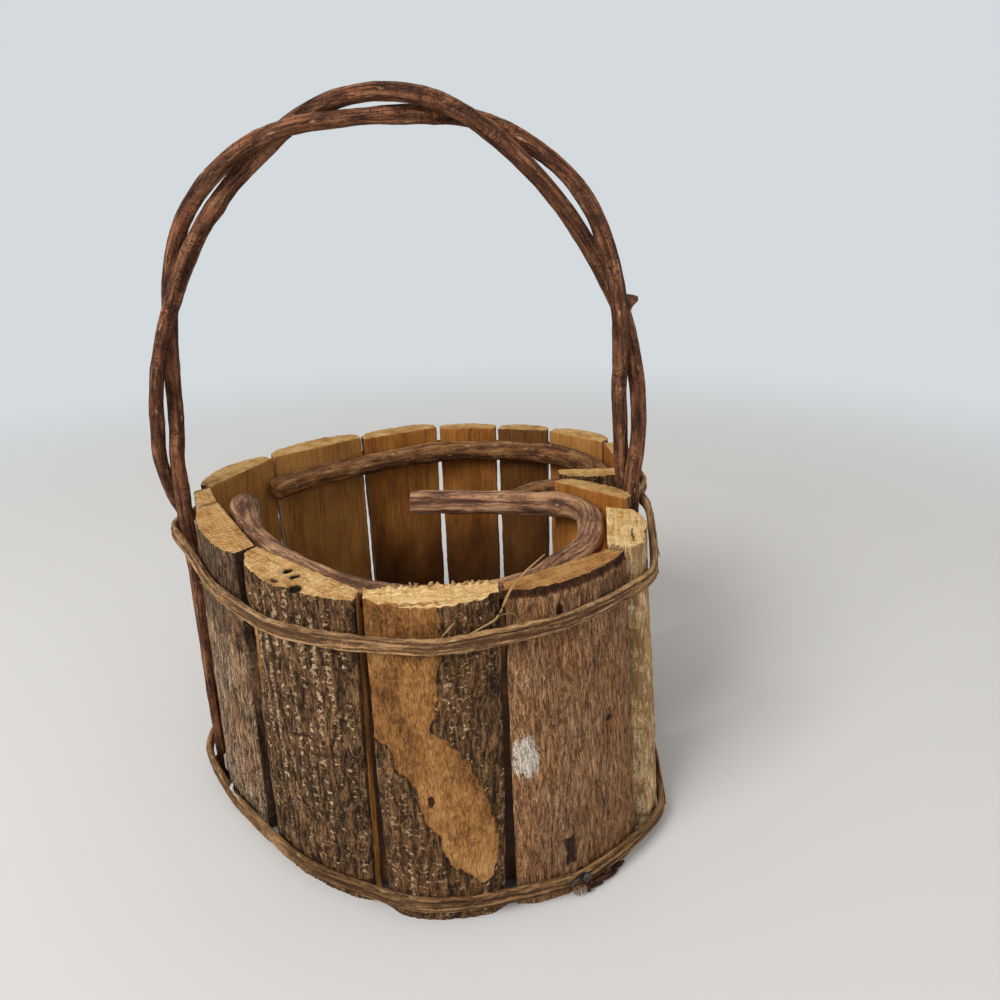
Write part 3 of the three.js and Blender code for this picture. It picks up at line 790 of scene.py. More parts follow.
def block(size: Vector, cuts: tuple[int, int, int], arris: float) -> bmesh.types.BMesh:
    """Makes an upright block with worn edges, cut finely so that it can be shaped.

    Args:
        size: Width, thickness and height. The block stands on the ground with its inner face at y = 0.
        cuts: Cuts across the width, the thickness and the height.
        arris: Width of the worn edges.

    Returns:
        The block.
    """
    shape = bmesh.new()
    bmesh.ops.create_cube(shape, size=1)
    bmesh.ops.scale(shape, vec=size, verts=shape.verts)
    bmesh.ops.translate(shape, vec=(0, size.y / 2, size.z / 2), verts=shape.verts)
    bmesh.ops.bevel(
        shape, geom=shape.edges[:], offset=arris, affect="EDGES", segments=2, profile=0.5, material=-1
    )
    for axis, count in enumerate(cuts):
        reach = [(edge, abs((edge.verts[0].co - edge.verts[1].co)[axis])) for edge in shape.edges]
        longest = [edge for edge, length in reach if length > size[axis] * 0.5]
        bmesh.ops.subdivide_edges(shape, edges=longest, cuts=count)
    return shape


def rod(sides: int, cuts: int) -> bmesh.types.BMesh:
    """Makes a straight rod of radius 1 from z = 0 to z = 1.

    Args:
        sides: Sides of its section.
        cuts: Cuts along its length.

    Returns:
        The rod.
    """
    shape = bmesh.new()
    bmesh.ops.create_cone(shape, cap_ends=True, segments=sides, radius1=1, radius2=1, depth=1)
    bmesh.ops.translate(shape, vec=(0, 0, 0.5), verts=shape.verts)
    longest = [edge for edge in shape.edges if abs(edge.verts[0].co.z - edge.verts[1].co.z) > 0.5]
    bmesh.ops.subdivide_edges(shape, edges=longest, cuts=cuts)
    for _ in range(CAP_RINGS):
        caps = [face for face in shape.faces if len(face.verts) == sides]
        bmesh.ops.inset_individual(shape, faces=caps, thickness=CAP_STEP)
    return shape


def places(shape: bmesh.types.BMesh) -> np.ndarray:
    """Gives the places of all vertices."""
    return np.array([vertex.co[:] for vertex in shape.verts])


def round_places(shape: bmesh.types.BMesh) -> tuple[np.ndarray, np.ndarray, np.ndarray]:
    """Gives how far along a rod each vertex lies, how far from its middle and at what angle."""
    at = places(shape)
    return at[:, 2], np.hypot(at[:, 0], at[:, 1]), np.arctan2(at[:, 1], at[:, 0])


def move(shape: bmesh.types.BMesh, to: np.ndarray) -> None:
    """Moves all vertices."""
    for vertex, place in zip(shape.verts, to):
        vertex.co = place


# Staves

# The material of each kind of face of a stave, by its index
BARK_FACE, WOOD_FACE, END_FACE = range(3)

# Points in each level ring of a packed stave, and how far from level they may lie
RING_POINTS = 12
LEVEL_SLACK = 8e-6

# Rings nearer the summit than this belong to the sloping top, whose points lie this far over the last ring
TOP_MARGIN = 0.5 * MM
TOP_START = 0.05 * MM

# Distance between the cuts of a stave across its width, thickness and height, in millimetres
FINE_PITCH_MM = (0.42, 0.8, 0.5)
PLAIN_PITCH_MM = (0.8, 1.5, 1.0)
ARRIS_MM = 0.3

# How far inside the bark's edge a place can lie, in millimetres
COVER_LIMIT_MM = 5.0

# How thickly the flecks stand where nothing crowds them
PLAIN_CROWD = 0.35


class StaveForm:
    """Form of a packed stave: where its inner face stands and how thick it is."""

    def __init__(self, node: str) -> None:
        """Reads the level rings of a packed stave.

        Args:
            node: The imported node.
        """
        points = np.array([vertex.co[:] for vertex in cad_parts[node].data.vertices])
        points = np.unique(np.round(points, 6), axis=0)
        levels, counts = np.unique(np.round(points[:, 2], 5), return_counts=True)
        levels = levels[counts == RING_POINTS]
        rows = [self.read_row(points[np.abs(points[:, 2] - level) < LEVEL_SLACK]) for level in levels]
        self.foot = rows[0][0]
        summit = points[:, 2].max()
        rows = [row for row in rows[1:] if row[0] < summit - TOP_MARGIN]
        self.heights, self.starts, self.ends, self.depths, self.laps = (
            np.array(column) for column in zip(*rows)
        )
        upper = points[points[:, 2] > self.heights[-1] + TOP_START]
        across, outward = self.locate(upper)
        terms = np.stack([np.ones(len(upper)), across, outward], 1)
        self.top = np.linalg.lstsq(terms, upper[:, 2], rcond=None)[0]
        start, end = self.chord(np.array([self.heights[-1]]))
        self.width = float(np.linalg.norm(end - start))
        self.depth = float(self.depths.max())
        self.height = float(self.top[0]) - self.foot

    @staticmethod
    def read_row(points: np.ndarray) -> tuple[float, np.ndarray, np.ndarray, np.ndarray, np.ndarray]:
        """Finds the inner face and the thicknesses in one level ring.

        Args:
            points: The twelve points of the ring.

        Returns:
            The height, the two ends of the inner face, the thickness at ten places along it, and how far
            the bark reaches past each end.
        """
        flat = points[:, :2]
        centre = flat.mean(0)
        turn = np.arctan2(*(flat - centre).T[::-1])
        flat = flat[np.argsort(turn)]
        sides = np.linalg.norm(flat - np.roll(flat, -1, 0), axis=1)
        at = int(np.argmax(sides))
        start, end = flat[at], flat[(at + 1) % len(flat)]
        along = (end - start) / np.linalg.norm(end - start)
        if np.dot((-along[1], along[0]), centre - start) < 0:
            start, end, along = end, start, -along
        out = np.array((-along[1], along[0]))
        rest = [point for point in flat if np.dot(point - start, out) > 1e-5]
        rest.sort(key=lambda point: np.dot(point - start, along))
        depths = np.array([np.dot(point - start, out) for point in rest])
        laps = np.array([np.dot(start - rest[0], along), np.dot(rest[-1] - end, along)])
        return float(points[0, 2]), start, end, depths, laps

    def chord(self, height: np.ndarray) -> tuple[np.ndarray, np.ndarray]:
        """Finds the two ends of the inner face.

        Args:
            height: Heights, in metres.

        Returns:
            The first end and the second, seen from above, one to each height.
        """
        share = (height - self.heights[0]) / (self.heights[-1] - self.heights[0])
        start = self.starts[0] + share[:, None] * (self.starts[-1] - self.starts[0])
        end = self.ends[0] + share[:, None] * (self.ends[-1] - self.ends[0])
        return start, end

    def spread(self, share: np.ndarray, inward: np.ndarray, height: np.ndarray) -> np.ndarray:
        """Places points along the inner face, further apart outwards where the bark reaches past its ends.

        Args:
            share: Shares of the width.
            inward: Shares of the thickness, 0 on the inner face and 1 on the bark.
            height: Heights, in metres.

        Returns:
            Metres from the middle of the inner face.
        """
        start, end = self.chord(height)
        width = np.linalg.norm(end - start, axis=1)
        low, high = (np.interp(height, self.heights, self.laps[:, side]) for side in (0, 1))
        outer = (share - 0.5) * (width + low + high) + (high - low) / 2
        return (share - 0.5) * width * (1 - inward) + outer * inward

    def axes(self, height: np.ndarray) -> tuple[np.ndarray, np.ndarray, np.ndarray]:
        """Finds the stave's own directions.

        Args:
            height: Heights, in metres.

        Returns:
            The middle of the inner face, its direction and its outward side, one to each height.
        """
        start, end = self.chord(height)
        along = unit(end - start)
        return (start + end) / 2, along, np.stack([-along[:, 1], along[:, 0]], 1)

    def locate(self, points: np.ndarray) -> tuple[np.ndarray, np.ndarray]:
        """Measures points against the inner face.

        Args:
            points: Points in the basket's frame.

        Returns:
            Their distances along the inner face from its middle, and outwards from it.
        """
        middle, along, out = self.axes(points[:, 2])
        offset = points[:, :2] - middle
        return (offset * along).sum(1), (offset * out).sum(1)

    def thickness(self, share: np.ndarray, height: np.ndarray) -> np.ndarray:
        """Gives the stave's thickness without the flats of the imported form.

        Args:
            share: Shares of the width.
            height: Heights, in metres.

        Returns:
            The thickness at each place, in metres.
        """
        row = np.interp(height, self.heights, np.arange(len(self.heights)))
        column = np.clip(share, 0, 1) * (self.depths.shape[1] - 1)
        table = np.pad(self.depths, ((1, 2), (1, 2)), mode="edge")
        total = np.zeros(len(share))
        low_row, low_column = np.floor(row).astype(int), np.floor(column).astype(int)
        for step in range(4):
            for slide in range(4):
                weight = self.spline(row - low_row, step) * self.spline(column - low_column, slide)
                total += weight * table[low_row + step, low_column + slide]
        return total

    @staticmethod
    def spline(share: np.ndarray, index: int) -> np.ndarray:
        """Gives the weight of one of four neighbours in a smooth curve through them.

        Args:
            share: How far each place lies from the second neighbour to the third.
            index: Which neighbour, from 0 to 3.

        Returns:
            The weight at each place.
        """
        cube, square = share**3, share**2
        weights = (
            -0.5 * cube + square - 0.5 * share,
            1.5 * cube - 2.5 * square + 1,
            -1.5 * cube + 2 * square + 0.5 * share,
            0.5 * cube - 0.5 * square,
        )
        return weights[index]

    def stand(self, across: np.ndarray, outward: np.ndarray, height: np.ndarray) -> np.ndarray:
        """Turns places on the stave into places in the basket's frame.

        Args:
            across: Distances along the inner face from its middle.
            outward: Distances outwards from it.
            height: Heights, in metres.

        Returns:
            The places, one to each row.
        """
        middle, along, out = self.axes(height)
        flat = middle + along * across[:, None] + out * outward[:, None]
        return np.column_stack([flat, height])


@dataclass
class Relief:
    """Depths of a stave's unevenness, in millimetres."""

    plate_width_mm: float = 2.2
    plate_length_mm: float = 9
    crack_mm: float = 0.35
    lump_mm: float = 0.35
    fibre_mm: float = 0.16
    end_mm: float = 0.25
    inner_mm: float = 0.12


@dataclass
class Scar:
    """A knot, hole or stain on the bark.

    across and height place it and width and tall are its half sizes, all in millimetres. Its stain value runs
    from -1 for dark to 1 for whitish, dent_mm is how deep it goes and a greater corner makes it squarer.
    """

    across: float
    height: float
    width: float
    tall: float
    stain: float = -1.0
    dent_mm: float = 0.0
    corner: float = 2.0

    def nearness(self, across: np.ndarray, height: np.ndarray) -> np.ndarray:
        """Says how near the middle of the scar places lie.

        Args:
            across: Places across the stave, in millimetres from its middle.
            height: Heights in millimetres.

        Returns:
            1 at the middle, 0 at the edge and less outside.
        """
        sideways = np.abs((across - self.across) / self.width) ** self.corner
        upwards = np.abs((height - self.height) / self.tall) ** self.corner
        return 1 - (sideways + upwards) ** (1 / self.corner)


@dataclass
class Stave:
    """One split stave with its bark left on.

    fine cuts it finely, as the staves in front are. wrap is the share of each side face that the bark
    covers, and the flank shades say how far painted shade darkens each side face at its foot and at its
    top, as the narrow gaps between the staves shade them. bare lists heights and where bare wood starts and
    ends across the stave there. crowding lists where the bark's flecks stand thickest. pits are holes in the
    top, each a place across and outwards, two half sizes and a depth.
    ragged_mm is how far the bark is torn off under the top, and step_mm how far the bare wood lies below
    the bark. Places and sizes are in millimetres.
    """

    node: str
    slot: str
    bark: Bark
    wood: SplitWood
    end: EndGrain
    relief: Relief = field(default_factory=Relief)
    fine: bool = False
    wrap: float = 0.4
    painted_flank_shade: tuple[tuple[float, float], tuple[float, float]] = ((0.3, 0.3), (0.3, 0.3))
    bare: tuple[tuple[Triple, ...], ...] = ()
    scars: tuple[Scar, ...] = ()
    crowding: tuple[Scar, ...] = ()
    pits: tuple[tuple[float, float, float, float, float], ...] = ()
    ragged_mm: float = 0.0
    step_mm: float = 0.8
    seed: float = 0.0

    def build(self) -> bpy.types.Object:
        """Shapes the stave and dresses it.

        Returns:
            The dressed piece.
        """
        form = StaveForm(self.node)
        size = Vector((form.width, form.depth, form.height))
        pitch = FINE_PITCH_MM if self.fine else PLAIN_PITCH_MM
        cuts = tuple(max(2, round(length / (step * MM))) for length, step in zip(size, pitch))
        shape = block(size, cuts, ARRIS_MM * MM)
        self.mark_faces(shape, size)
        at = places(shape)
        share, inward = at[:, 0] / size.x + 0.5, at[:, 1] / size.y
        rise = at[:, 2] / size.z
        guess = form.foot + rise * form.height
        depth = form.thickness(share, guess)
        across = form.spread(share, inward, guess)
        top = form.top[0] + form.top[1] * across + form.top[2] * inward * depth
        height = form.foot + rise * (top - form.foot)
        across = form.spread(share, inward, height)
        across_mm, deep_mm, height_mm = across / MM, inward * depth / MM, height / MM
        below_mm = (top - height) / MM
        cover = self.cover(across_mm, height_mm, below_mm)
        side_cover = (inward - 1 + self.wrap) * depth / MM + 0.8 * GRAIN(inward * 3, height_mm / 7, self.seed)
        cover = np.where(inward < 0.93, np.minimum(cover, side_cover), cover)
        hollow = self.bark_relief(across_mm, height_mm) - self.step_mm * eased(cover, 0.35, -0.35)
        stain, dent = self.scarring(across_mm, height_mm)
        # Painted shade: each side face is darkened, by its own amount at the foot and at the top, as the
        # narrow gaps between the staves shade it.
        for side_share, dark in zip((share, 1 - share), self.painted_flank_shade):
            edge = eased(side_share * size.x / MM, 0.45, 0.2) * eased(inward, 0.97, 0.9)
            stain = stain - edge * self.flank_shade_level(dark, height_mm)
        outward = inward * depth + eased(inward, 0.55, 1) * (hollow - dent) * MM
        wave = GRAIN(across_mm / 7, self.seed, height_mm / 30)
        outward += eased(inward, 0.4, 0) * self.relief.inner_mm * MM * wave
        side_mm = np.minimum(share, 1 - share) * size.x / MM
        fray = self.side_fray(deep_mm, height_mm)
        across = across + np.sign(share - 0.5) * eased(side_mm, 1.2, 0) * fray * 0.25 * MM
        lift, pit = self.end_relief(across_mm, deep_mm)
        foot = eased(height_mm - form.foot / MM, 1.0, 0) * 0.3
        lift = eased(below_mm, 1.4, 0) * lift - foot * np.abs(GRAIN(across_mm / 2, inward * 4, self.seed))
        move(shape, form.stand(across, outward, np.maximum(height + lift * MM, form.foot)))
        marks = {
            "place": np.column_stack([across, inward * depth + self.seed * 0.1, height]),
            # hollow: depth of the bark's relief and of the pits in the top, which the finishes darken as
            # painted shade.
            "hollow": np.where((below_mm < 0.8) & (inward < 0.97), pit, hollow),
            "cover": cover,
            "stain": stain,
            "crowd": self.crowd(across_mm, height_mm),
        }
        finishes = [self.bark, self.wood, self.end]
        return finished(f"{self.node}_dressed", shape, finishes, (self.node,), marks)

    def mark_faces(self, shape: bmesh.types.BMesh, size: Vector) -> None:
        """Gives the outer faces the bark, the ends the end grain and the inner face the split wood.

        Args:
            shape: The upright block that becomes the stave.
            size: Its width, thickness and height.
        """
        shape.normal_update()
        for face in shape.faces:
            if face.normal.y > 0.35:
                face.material_index = BARK_FACE
            elif abs(face.normal.z) > 0.5:
                face.material_index = END_FACE
            elif abs(face.normal.x) > 0.5 and face.calc_center_median().y > size.y * (0.85 - self.wrap):
                face.material_index = BARK_FACE
            else:
                face.material_index = WOOD_FACE

    @staticmethod
    def flank_shade_level(dark: tuple[float, float], height: np.ndarray) -> np.ndarray:
        """Gives how far painted shade darkens a side face at heights in millimetres, from its foot to its
        top.
        """
        low, high = dark
        return low + (high - low) * eased(height, 30, 62)

    def side_fray(self, deep: np.ndarray, height: np.ndarray) -> np.ndarray:
        """Gives how far fibres are torn from the side faces.

        Args:
            deep: Distances outwards from the inner face, in millimetres.
            height: Heights in millimetres.

        Returns:
            Quarters of a millimetre, less than 0 where wood is gone.
        """
        fray = GRAIN(deep / 1.6, self.seed + 3, height / 14) - 0.6
        fray += 0.7 * GRAIN(deep / 0.9, self.seed + 5, height / 3.5) - 0.4
        return fray

    def cover(self, across: np.ndarray, height: np.ndarray, below: np.ndarray) -> np.ndarray:
        """Says how far inside the bark's edge each place lies.

        Args:
            across: Places across the stave, in millimetres from its middle.
            height: Heights in millimetres.
            below: Distances under the cut end, in millimetres.

        Returns:
            Millimetres, less than 0 where the bark is gone.
        """
        wave = GRAIN(across / 3.2, height / 4.5, self.seed)
        wave += 0.5 * GRAIN(across / 1.1, height / 1.6, self.seed)
        cover = np.full(len(across), COVER_LIMIT_MM)
        if self.ragged_mm:
            jag = GRAIN(across / 1.3, self.seed, 0) * 0.9 + GRAIN(across / 4, self.seed, 4) * 0.8
            cover = np.minimum(cover, below - self.ragged_mm + jag)
        for patch in self.bare:
            stations = np.array(sorted(patch))
            low = np.interp(height, stations[:, 0], stations[:, 1])
            high = np.interp(height, stations[:, 0], stations[:, 2])
            cover = np.minimum(cover, np.maximum(low - across, across - high) + wave)
        return np.clip(cover, -COVER_LIMIT_MM, COVER_LIMIT_MM)

    def scarring(self, across: np.ndarray, height: np.ndarray) -> tuple[np.ndarray, np.ndarray]:
        """Adds up the scars.

        Args:
            across: Places across the stave, in millimetres from its middle.
            height: Heights in millimetres.

        Returns:
            Their stain, from -1 to 1, and how deep they go in millimetres.
        """
        wave = 0.3 * GRAIN(across / 1.4, height / 2, self.seed + 1)
        stain, dent = np.zeros(len(across)), np.zeros(len(across))
        for scar in self.scars:
            near = scar.nearness(across, height) + wave
            mark = eased(near, -0.1, 0.35) * scar.stain
            stain = np.where(np.abs(mark) > np.abs(stain), mark, stain)
            dent += scar.dent_mm * (eased(near, 0, 0.6) - 0.5 * eased(np.abs(near + 0.15), 0.35, 0))
        return stain, dent

    def crowd(self, across: np.ndarray, height: np.ndarray) -> np.ndarray:
        """Says how thickly the flecks stand.

        Args:
            across: Places across the stave, in millimetres from its middle.
            height: Heights in millimetres.

        Returns:
            A share from 0 to 1.
        """
        crowd = np.full(len(across), PLAIN_CROWD)
        for spot in self.crowding:
            crowd += spot.stain * eased(spot.nearness(across, height), -0.4, 0.7)
        return np.clip(crowd, 0, 1)

    def bark_relief(self, across: np.ndarray, height: np.ndarray) -> np.ndarray:
        """Makes the bark uneven with plates, cracks between them, lumps and fibres.

        Args:
            across: Places across the stave, in millimetres from its middle.
            height: Heights in millimetres.

        Returns:
            How far the bark stands out, in millimetres.
        """
        relief = self.relief
        sway = GRAIN(across / 9, height / 22, self.seed + 7) * 1.6
        plates = GRAIN((across + sway) / relief.plate_width_mm, height / relief.plate_length_mm, self.seed)
        cracks = eased(np.abs(plates), 0.2, 0.0)
        lumps = GRAIN(across / 6, height / 11, self.seed + 2)
        lumps += 0.6 * GRAIN(across / 2.2, height / 4, self.seed)
        fibres = GRAIN((across + sway) / 0.9, height / 7, self.seed + 5)
        fibres += 0.7 * GRAIN((across + sway) / 1.3, height / 2.2, self.seed + 6)
        return -relief.crack_mm * cracks + relief.lump_mm * lumps * 0.6 + relief.fibre_mm * fibres

    def end_relief(self, across: np.ndarray, outward: np.ndarray) -> tuple[np.ndarray, np.ndarray]:
        """Makes the cut end uneven.

        Args:
            across: Places across the stave, in millimetres from its middle.
            outward: Distances from the inner face, in millimetres.

        Returns:
            How far the end stands up, and how far the pits in it go down, in millimetres.
        """
        rough = self.relief.end_mm
        lift = rough * (GRAIN(across / 2.4, outward / 2.4, self.seed) - 0.2)
        lift += rough * 0.5 * GRAIN(across / 0.9, outward / 0.9, self.seed + 9)
        pit = np.zeros(len(across))
        if self.end.cut is EndCut.TORN:
            tufts = np.maximum(0, GRAIN(across, outward / 1.2, self.seed + 4) - 0.05)
            lift += 1.6 * tufts * eased(outward, 4.5, 0.5)
        for middle, out, wide, deep, drop in self.pits:
            away = np.hypot((across - middle) / wide, (outward - out) / deep)
            away += 0.25 * GRAIN(across, outward, 5)
            pit = pit - drop * eased(away, 1.15, 0.55)
        return lift + np.minimum(pit, 0), pit


# Stems and bands

# Sides that the end of a lofted node can have, which tell it from the faces round it
LOFT_SIDES = (8, 9)

# Points along each fibre that has come loose from a band
FRINGE_POINTS = 9


class Path:
    """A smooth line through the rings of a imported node, with a frame that turns as little as it can."""

    def __init__(self, node: str, start: Vector) -> None:
        """Reads the rings of a lofted node.

        Args:
            node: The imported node.
            start: A place near the end that the line starts from.
        """
        rings = self.read_rings(node)
        if (Vector(rings[0].mean(0)) - start).length > (Vector(rings[-1].mean(0)) - start).length:
            rings.reverse()
        centres = np.array([ring.mean(0) for ring in rings])
        radii = np.array([np.linalg.norm(ring - ring.mean(0), axis=1).mean() for ring in rings])
        stations = stations_along(centres)
        self.length = float(stations[-1])
        self.count = max(200, int(self.length / (0.5 * MM)))
        at = np.linspace(0, self.length, self.count)
        self.line = smooth_line(centres, stations, at)
        self.radii = np.interp(at, stations, radii)
        self.tangent = unit(np.gradient(self.line, axis=0))
        self.side, self.other = self.turn_frames()

    @staticmethod
    def read_rings(node: str) -> list[np.ndarray]:
        """Walks a lofted node from one flat end to the other, past the holes that nails make in it.

        Args:
            node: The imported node.

        Returns:
            The points of each ring.
        """
        shape = bmesh.new()
        shape.from_mesh(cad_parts[node].data)
        bmesh.ops.remove_doubles(shape, verts=shape.verts, dist=1e-6)
        bore = [
            vertex
            for vertex in shape.verts
            for line in NAIL_LINES
            if Path.beside_line(vertex.co, *line) < NAIL_CLEARANCE
        ]
        bmesh.ops.delete(shape, geom=list(set(bore)), context="VERTS")
        bmesh.ops.dissolve_limit(
            shape, angle_limit=math.radians(0.05), verts=shape.verts[:], edges=shape.edges[:]
        )
        cap = max(shape.faces, key=lambda face: (len(face.verts) in LOFT_SIDES, -face.calc_area()))
        ring = set(cap.verts)
        seen = set(ring)
        rings = []
        while ring:
            rings.append(np.array([vertex.co[:] for vertex in ring]))
            nearby = {edge.other_vert(vertex) for vertex in ring for edge in vertex.link_edges}
            ring = nearby - seen
            seen |= ring
        shape.free()
        return rings

    @staticmethod
    def beside_line(point: Vector, start: Vector, end: Vector) -> float:
        """Measures a point's distance from a line.

        Args:
            point: The point.
            start: One end of the line.
            end: Its other end.

        Returns:
            The distance.
        """
        along = end - start
        share = max(0.0, min(1.0, (point - start).dot(along) / along.length_squared))
        return (point - start - along * share).length

    def turn_frames(self) -> tuple[np.ndarray, np.ndarray]:
        """Carries a sideways direction along the line.

        Returns:
            That direction and the one square to it, one to each place on the line.
        """
        side = np.empty_like(self.line)
        last = np.cross(self.tangent[0], (0, 0, 1.0))
        if np.linalg.norm(last) < 0.1:
            last = np.cross(self.tangent[0], (1.0, 0, 0))
        for index, tangent in enumerate(self.tangent):
            last = last - tangent * np.dot(last, tangent)
            last = last / np.linalg.norm(last)
            side[index] = last
        return side, np.cross(self.tangent, side)

    def sample(self, values: np.ndarray, share: np.ndarray) -> np.ndarray:
        """Reads values of the line.

        Args:
            values: Values or vectors, one to each place on the line.
            share: Shares of the line's length.

        Returns:
            One value or vector to each share.
        """
        at = np.clip(share, 0, 1) * (self.count - 1)
        if values.ndim == 1:
            return np.interp(at, np.arange(self.count), values)
        columns = [np.interp(at, np.arange(self.count), values[:, axis]) for axis in range(3)]
        return np.stack(columns, 1)


def nail_lines() -> list[tuple[Vector, Vector]]:
    """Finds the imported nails.

    Returns:
        The two ends of each, a little beyond its tips.
    """
    lines = []
    for name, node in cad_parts.items():
        if name.startswith("band_nail"):
            points = np.array([vertex.co[:] for vertex in node.data.vertices])
            centre = points.mean(0)
            axis = np.linalg.svd(points - centre)[2][0]
            reach = (points - centre) @ axis
            low, high = centre + axis * (reach.min() - MM), centre + axis * (reach.max() + MM)
            lines.append((Vector(low), Vector(high)))
    return lines


NAIL_LINES = nail_lines()

# Points of a band nearer a nail's line than this belong to the nail's hole
NAIL_CLEARANCE = 1.1 * MM


@dataclass
class Knot:
    """A bump on a stem.

    place, its half width reach and how far it stands out are in millimetres. A greater steepness gives
    it steeper sides.
    """

    place: Triple
    reach: float
    height: float
    steepness: float = 2.0


@dataclass
class Stem:
    """A vine or twig with bark.

    start is a place near the end that its line starts from. ridges is how many ridges go round it and
    ridge_mm how high they stand. dome is how far each end bulges, as a share of the radius. sides and
    pitch_mm say how finely it is cut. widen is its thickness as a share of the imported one, and foot_widen
    what is added to that near its start.
    """

    node: str
    start: Vector
    bark: StemBark
    slot: str
    ridges: float = 3.0
    ridge_mm: float = 0.18
    knots: tuple[Knot, ...] = ()
    dome: tuple[float, float] = (0.25, 0.25)
    sides: int = 40
    pitch_mm: float = 1.1
    seed: float = 0.0
    widen: float = 1.0
    foot_widen: float = 0.0

    def build(self) -> bpy.types.Object:
        """Shapes the stem along its packed line and dresses it.

        Returns:
            The dressed piece.
        """
        path = Path(self.node, self.start)
        shape = rod(self.sides, int(path.length / (self.pitch_mm * MM)))
        share, spread, angle = round_places(shape)
        along_mm = share * path.length / MM
        radius = path.sample(path.radii, share) * (self.widen + self.foot_widen * eased(share, 0.22, 0.12))
        centre, side, other = (path.sample(line, share) for line in (path.line, path.side, path.other))
        facing = side * np.cos(angle)[:, None] + other * np.sin(angle)[:, None]
        hollow = self.relief(angle, along_mm)
        raised = hollow + self.knobs(centre + facing * radius[:, None])
        reach = radius * spread + raised * MM * eased(spread, 0.2, 1)
        spot = centre + side * (np.cos(angle) * reach)[:, None] + other * (np.sin(angle) * reach)[:, None]
        for end, sign, size in ((0.0, -1, self.dome[0]), (1.0, 1, self.dome[1])):
            cap = (np.abs(share - end) < 1e-6) * np.sqrt(np.clip(1 - spread**2, 0, 1)) * size * radius * sign
            spot += path.sample(path.tangent, share) * cap[:, None]
        move(shape, spot)
        place = np.column_stack([np.cos(angle) * radius, np.sin(angle) * radius, along_mm * MM + self.seed])
        marks = {"place": place, "hollow": hollow}
        return finished(f"{self.node}_dressed", shape, [self.bark], (self.node,), marks)

    def knobs(self, skin: np.ndarray) -> np.ndarray:
        """Adds up the knots.

        Args:
            skin: Places on the stem's skin, in metres.

        Returns:
            How far the knots stand out there, in millimetres.
        """
        total = np.zeros(len(skin))
        for knot in self.knots:
            away = np.linalg.norm(skin / MM - knot.place, axis=1)
            total += knot.height * np.exp(-((away / knot.reach) ** knot.steepness))
        return total

    def relief(self, angle: np.ndarray, along: np.ndarray) -> np.ndarray:
        """Makes the bark uneven with ridges and swellings.

        Args:
            angle: Angles round the stem.
            along: Distances along it, in millimetres.

        Returns:
            How far the bark stands out there, in millimetres.
        """
        turn = angle + along * 0.004
        wide, tall = np.cos(turn) * self.ridges * 0.5, np.sin(turn) * self.ridges * 0.5
        total = self.ridge_mm * GRAIN(wide, tall, along / 34 + self.seed)
        total += self.ridge_mm * 0.6 * GRAIN(wide * 2.6, tall * 2.6, along / 16 + self.seed)
        total += self.ridge_mm * 0.9 * GRAIN(wide * 0.5, tall * 0.5, along / 9 + self.seed)
        return total + self.ridge_mm * 0.45 * GRAIN(wide * 3, tall * 3, along / 2.5 + self.seed)


def thread(points: list[Triple], thick_mm: float, sides: int = 7) -> tuple[bmesh.types.BMesh, np.ndarray]:
    """Makes a thin fibre that tapers to both ends.

    Args:
        points: Places that the fibre passes through, in millimetres.
        thick_mm: Its radius at the middle, in millimetres.
        sides: Sides of its section.

    Returns:
        The fibre, and a place on its skin for each vertex, as if it lay straight.
    """
    knots = np.array(points) * MM
    stations = stations_along(knots)
    length = stations[-1]
    shape = rod(sides, max(8, int(length / (0.9 * MM))))
    at = places(shape)
    share = at[:, 2]
    where = share * length
    step = 0.1 * MM
    after = smooth_line(knots, stations, np.minimum(where + step, length))
    ahead = unit(after - smooth_line(knots, stations, np.maximum(where - step, 0)))
    side = unit(np.cross(ahead, np.where(np.abs(ahead[:, 2:]) > 0.9, (1.0, 0.2, 0.0), (0.1, 0.0, 1.0))))
    other = np.cross(ahead, side)
    reach = thick_mm * MM * (0.35 + 0.65 * np.sin(np.pi * np.clip(share, 0.02, 0.98)) ** 0.6)
    middle = smooth_line(knots, stations, where)
    move(shape, middle + side * (at[:, 0] * reach)[:, None] + other * (at[:, 1] * reach)[:, None])
    return shape, np.column_stack([at[:, 0] * MM, at[:, 1] * MM, where])


def tuft(name: str, fibres: list[tuple[list[Triple], float]], bark: Finish) -> bpy.types.Object:
    """Makes one piece of several thin fibres.

    Args:
        name: The piece's name.
        fibres: The places that each fibre passes through and its radius, in millimetres.
        bark: Its finish.

    Returns:
        The piece.
    """
    whole = bmesh.new()
    marks = []
    for points, thick in fibres:
        shape, along = thread(points, thick)
        part = bpy.data.meshes.new("fibre")
        bmesh.ops.recalc_face_normals(shape, faces=shape.faces)
        shape.to_mesh(part)
        shape.free()
        whole.from_mesh(part)
        bpy.data.meshes.remove(part)
        marks.append(along + (0, 0, len(marks) * 0.07))
    place = np.concatenate(marks)
    return finished(name, whole, [bark], (), {"place": place, "hollow": np.zeros(len(place))})


